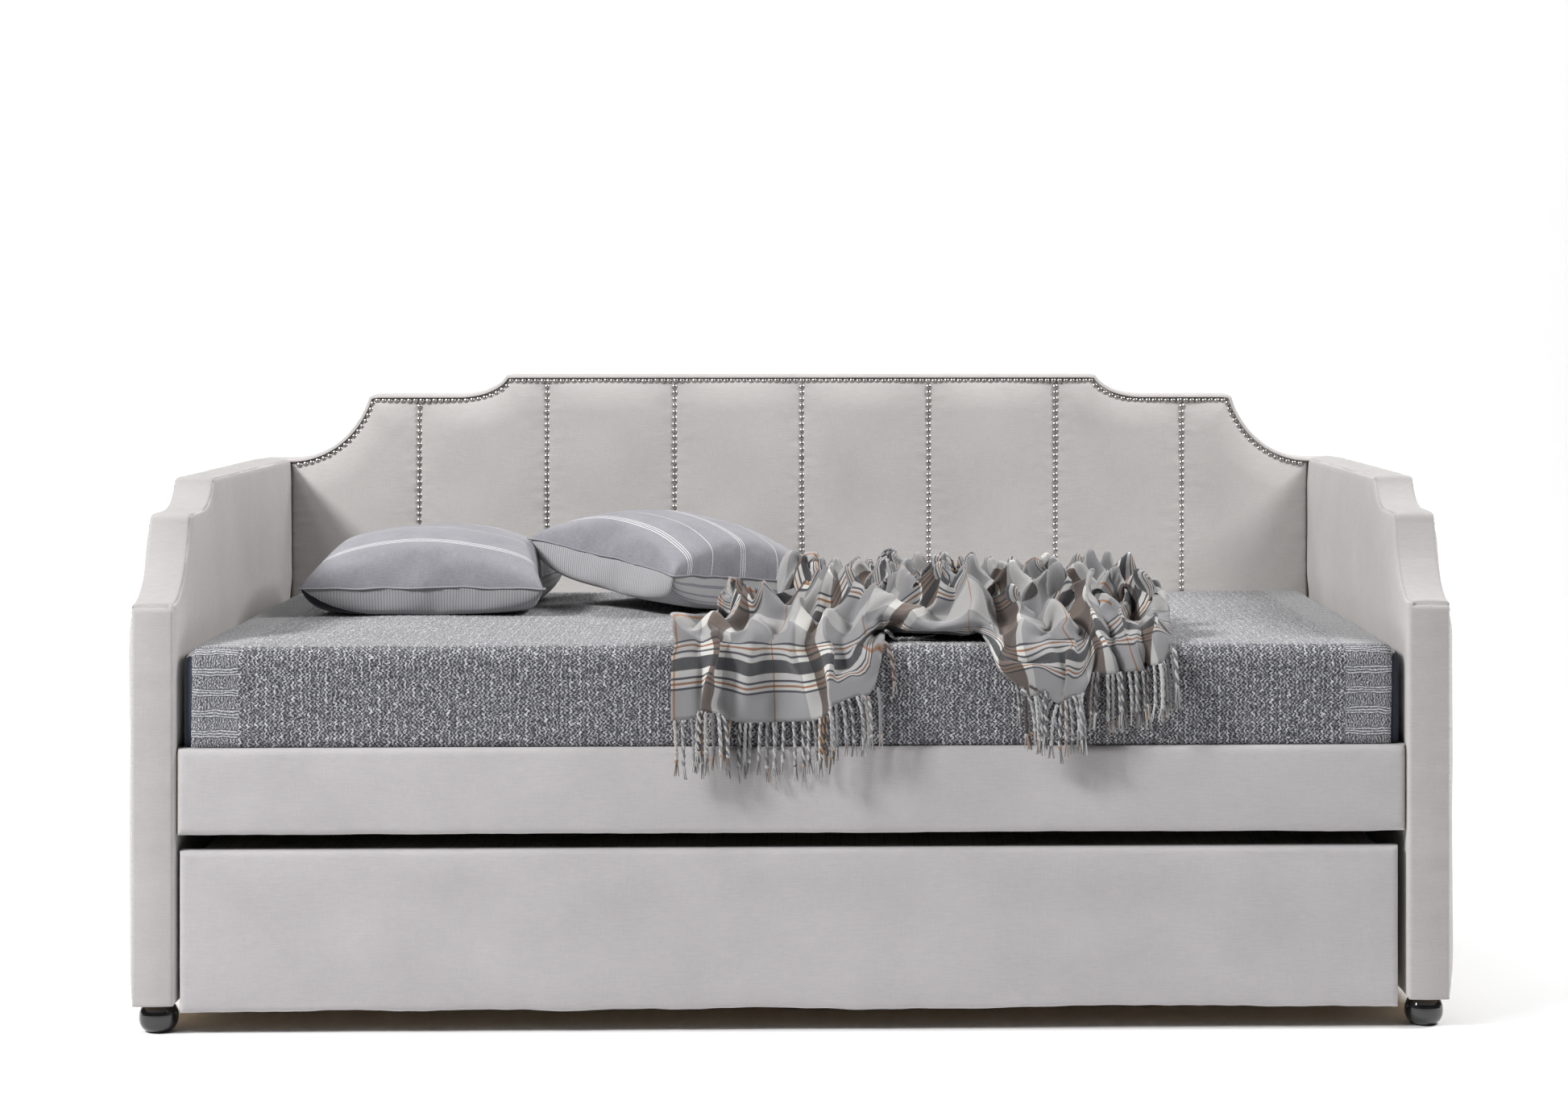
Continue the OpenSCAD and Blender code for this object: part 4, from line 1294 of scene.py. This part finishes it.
def fringe_material():
    """Twisted yarn, between the colour of the warp stripe it ends and a strand's own colour."""
    s = Shade("throw_fringe_yarn", Sheen_Weight=0.25, Specular_IOR_Level=0.15)
    warp = plaid_colour(s, s.split(s.uv("cloth"))[0], 0.0)
    pick = s.node("NewGeometry").outputs["Random Per Island"]
    strand = s.ramp(pick, (0.0, (0.045, 0.045, 0.055)), (0.20, (0.045, 0.045, 0.055)),
                    (0.21, (0.20, 0.20, 0.215)), (0.55, (0.28, 0.28, 0.295)),
                    (0.56, (0.70, 0.69, 0.67)), (0.76, (0.70, 0.69, 0.67)),
                    (0.75, (0.30, 0.17, 0.08)), (0.82, (0.50, 0.28, 0.12)),
                    (0.83, (0.62, 0.62, 0.62)))
    fibre = s.noise(900.0, 2.0)
    colour = s.mix(0.55, warp, strand)
    colour = s.mix(s.times(fibre, 0.45), colour, s.mix(0.7, colour, (0.05, 0.05, 0.05)))
    return s.finish(colour, s.span(fibre, 0.85, 0.97), fibre, 0.5, 0.0008)


TASSEL_GAP = 0.0100
TASSEL_LENGTH = 0.092
STRAND_R, STRAND_APART = 0.0021, 0.0017


def throw_fringe(cloth):
    """Knotted tassels along the hem and along the far end of the throw."""
    parts, uvs = [], []
    for row, inner, share in ((cloth[:, 0], cloth[:, 2], 1.0), (cloth[:, -1], cloth[:, -3], 0.9)):
        places = np.linspace(0.004, THROW_W - 0.004, int(THROW_W / TASSEL_GAP))
        index = places / THROW_W * (len(row) - 1)
        for place, i in zip(places, index):
            k, f = min(int(i), len(row) - 2), i - int(i)
            p = row[k] * (1 - f) + row[k + 1] * f
            q = inner[k] * (1 - f) + inner[k + 1] * f
            made = tassel(tassel_path(p, p - q, TASSEL_LENGTH * share * rng.uniform(0.90, 1.06)))
            parts += made
            uvs += [np.full((len(v), 2), (place, 0.0)) for v, _ in made]
    verts, faces = joined(parts)
    obj = make("throw_fringe_tassels", verts, faces, FRINGE)
    set_uv(obj, "cloth", np.vstack(uvs))
    return settle(obj, "daybed", ["throw_fringe"])


def tassel_path(start, away, length, n=16):
    """Centre line of a tassel: out of the cloth's edge, then down under its own weight."""
    away = away / max(np.linalg.norm(away), 1e-6)
    step_len = length / (n - 1)
    heading = away + np.array([rng.uniform(-0.2, 0.2), rng.uniform(-0.12, 0.12), 0])
    sway = rng.uniform(-0.10, 0.10)
    p, out = np.array(start, float), [np.array(start, float)]
    for _ in range(n - 1):
        heading = heading + np.array([sway * 0.06, 0, -0.30])
        heading /= np.linalg.norm(heading)
        p = p + heading * step_len
        p, heading = keep_off(p, heading)
        out.append(p.copy())
    return np.array(out)


def keep_off(p, heading):
    """Keeps a tassel's point on the made bed or in front of it and of its rail."""
    top, depth = KNIT_HIGH.z + 0.0045, p[1] - FRONT_Y
    if depth > KNIT_FRONT - 0.005 and p[2] < top:
        if depth > KNIT_FRONT + 0.012:
            p[2] = top
            heading[2] = max(heading[2], 0)
            heading[1] -= 0.02
        else:
            p[1] = FRONT_Y + KNIT_FRONT - 0.0065
    elif depth > -0.005 and p[2] < RAIL_Z + 0.006:
        p[1] = max(p[1] - 0.006, FRONT_Y - 0.006)
        heading[1] = -0.3
    p[1] = max(p[1], FRONT_Y - TASSEL_REACH)
    return p, heading


def tassel(path):
    """Two twisted strands, a knot, and a loose end, as a list of (verts, faces)."""
    n = len(path)
    knot = int(n * 0.74)
    ahead = normalised(np.gradient(path, axis=0))
    side = normalised(np.cross(ahead, (0.0, 1.0, 0.05)))
    up = np.cross(side, ahead)
    turns = np.arange(n) / n * rng.uniform(9, 12) + rng.uniform(0, 6)
    made = []
    twisted = slice(knot + 1)
    for half in (0, math.pi):
        a = (turns[twisted] * math.pi + half)[:, None]
        line = path[twisted] + STRAND_APART * (side[twisted] * np.cos(a) + up[twisted] * np.sin(a))
        made.append(tube(line, np.full(len(line), STRAND_R), 5, closed=False))
    bulge = path[knot] + np.outer(np.linspace(-1, 1, 5), ahead[knot]) * 0.0036
    made.append(tube(bulge, np.array([0.0014, 0.0030, 0.0034, 0.0028, 0.0014]), 7, closed=False))
    for _ in range(4):
        a = rng.uniform(0, 2 * math.pi)
        spread = np.linspace(0.2, 1, n - knot)[:, None] * rng.uniform(0.003, 0.0065)
        line = path[knot:] + spread * (side[knot:] * math.cos(a) + up[knot:] * math.sin(a))
        thin = np.linspace(0.0013, 0.0006, len(line))
        made.append(tube(line, thin, 4, closed=False))
    return made


KNIT = knit_material()
SEAM_CORD = underside_material("cushion_seam_cord", (0.66, 0.65, 0.66))
PLAID = plaid_material()
FRINGE = fringe_material()
MATTRESS_SIDE, MATTRESS_TOP, TRUNDLE_SIDE, TRUNDLE_TOP = [ticking_material(*look) for look in (
    ("mattress_navy", (0.020, 0.024, 0.040), (0.035, 0.04, 0.06), 0.012, 0.5),
    ("mattress_ivory", (0.80, 0.79, 0.76), (0.66, 0.66, 0.66), 0.020, 0.12),
    ("trundle_ticking_side", (0.46, 0.46, 0.46), (0.30, 0.32, 0.36), 0.016, 0.3),
    ("trundle_ticking_top", (0.40, 0.40, 0.395), (0.26, 0.27, 0.31), 0.024, 0.10))]


# ---- studio ----


def studio():
    """Pale seamless floor and backdrop, a key lamp from each side, camera as in the picture."""
    wide, front, rear, high, bend = 9.0, -9.0, 5.5, 6.0, 1.5
    a = np.linspace(0, math.pi / 2, 10)
    profile = [(front, 0)] + list(zip(rear - bend + bend * np.sin(a), bend - bend * np.cos(a)))
    profile.append((rear, high))
    verts = [(x, y, z) for x in (-wide, wide) for y, z in profile]
    floor = make("studio_floor", verts, grid_faces(2, len(profile)), floor_material())

    world = bpy.data.worlds.new("studio")
    world.use_nodes = True
    world.node_tree.nodes["Background"].inputs[0].default_value = (1.0, 1.0, 1.0, 1)
    world.node_tree.nodes["Background"].inputs[1].default_value = 0.04
    bpy.context.scene.world = world
    lamp("key_left", (-4.0, -2.6, 4.2), (0.0, 0.2, 0.6), 1.0, 340)
    lamp("key_right", (3.2, -0.8, 3.6), (0.0, 0.2, 0.6), 1.6, 160)
    lamp("front", (-2.6, -3.4, 4.3), (0.0, 0.2, 0.6), 0.8, 50)
    lamp("backdrop", (0.0, 2.4, 4.6), (0.0, 5.5, 1.2), 3.0, 155)

    scene = bpy.context.scene
    scene.view_settings.view_transform = "Standard"
    scene.view_settings.look = "None"
    data = bpy.data.cameras.new("camera")
    data.sensor_width, data.lens = 36.0, 70.11
    data.shift_x, data.shift_y = -0.0832, -0.1523
    camera = bpy.data.objects.new("camera", data)
    scene.collection.objects.link(camera)
    place = Matrix.Translation((0.0677, FRONT_Y - 4.8592, 1.1315))
    camera.matrix_world = place @ Matrix.Rotation(-0.0254, 4, "Z") @ \
        Matrix.Rotation(math.pi / 2, 4, "X")
    scene.camera = camera


def floor_material():
    s = Shade("studio_paper", Specular_IOR_Level=0.2)
    soft = s.noise(0.8, 2.0)
    base = s.mix(soft, (0.90, 0.90, 0.90), (0.93, 0.93, 0.93))
    return s.finish(base, s.span(soft, 0.85, 0.95))


def lamp(name, place, target, size, power):
    data = bpy.data.lights.new(name, "AREA")
    data.shape, data.size, data.energy = "SQUARE", size, power
    obj = bpy.data.objects.new(name, data)
    bpy.context.scene.collection.objects.link(obj)
    obj.location = place
    aim = Vector(target) - Vector(place)
    obj.rotation_euler = aim.to_track_quat("-Z", "Y").to_euler()


# ---- the whole scene ----

studio()
dress_frame()
back_front()
back_border()
back_rear()
back_nails()
for side, tag in ((-1, "left"), (1, "right")):
    arm_inner(side)
    arm_outer(side)
    arm_band(side, tag)
    arm_nails(side, tag)
rail_and_trundle_front()
mattress("mattress", "daybed", MATTRESS_SIDE, MATTRESS_TOP,
         recess=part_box("front_rail_cover")[1].y + 0.006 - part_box("mattress")[0].y)
mattress("trundle_mattress", "trundle", TRUNDLE_SIDE, TRUNDLE_TOP, quilt=0.20, roll=0.020,
         steps=(0.010, 0.010, 0.03))
knit_blanket()
cushions()
throw()
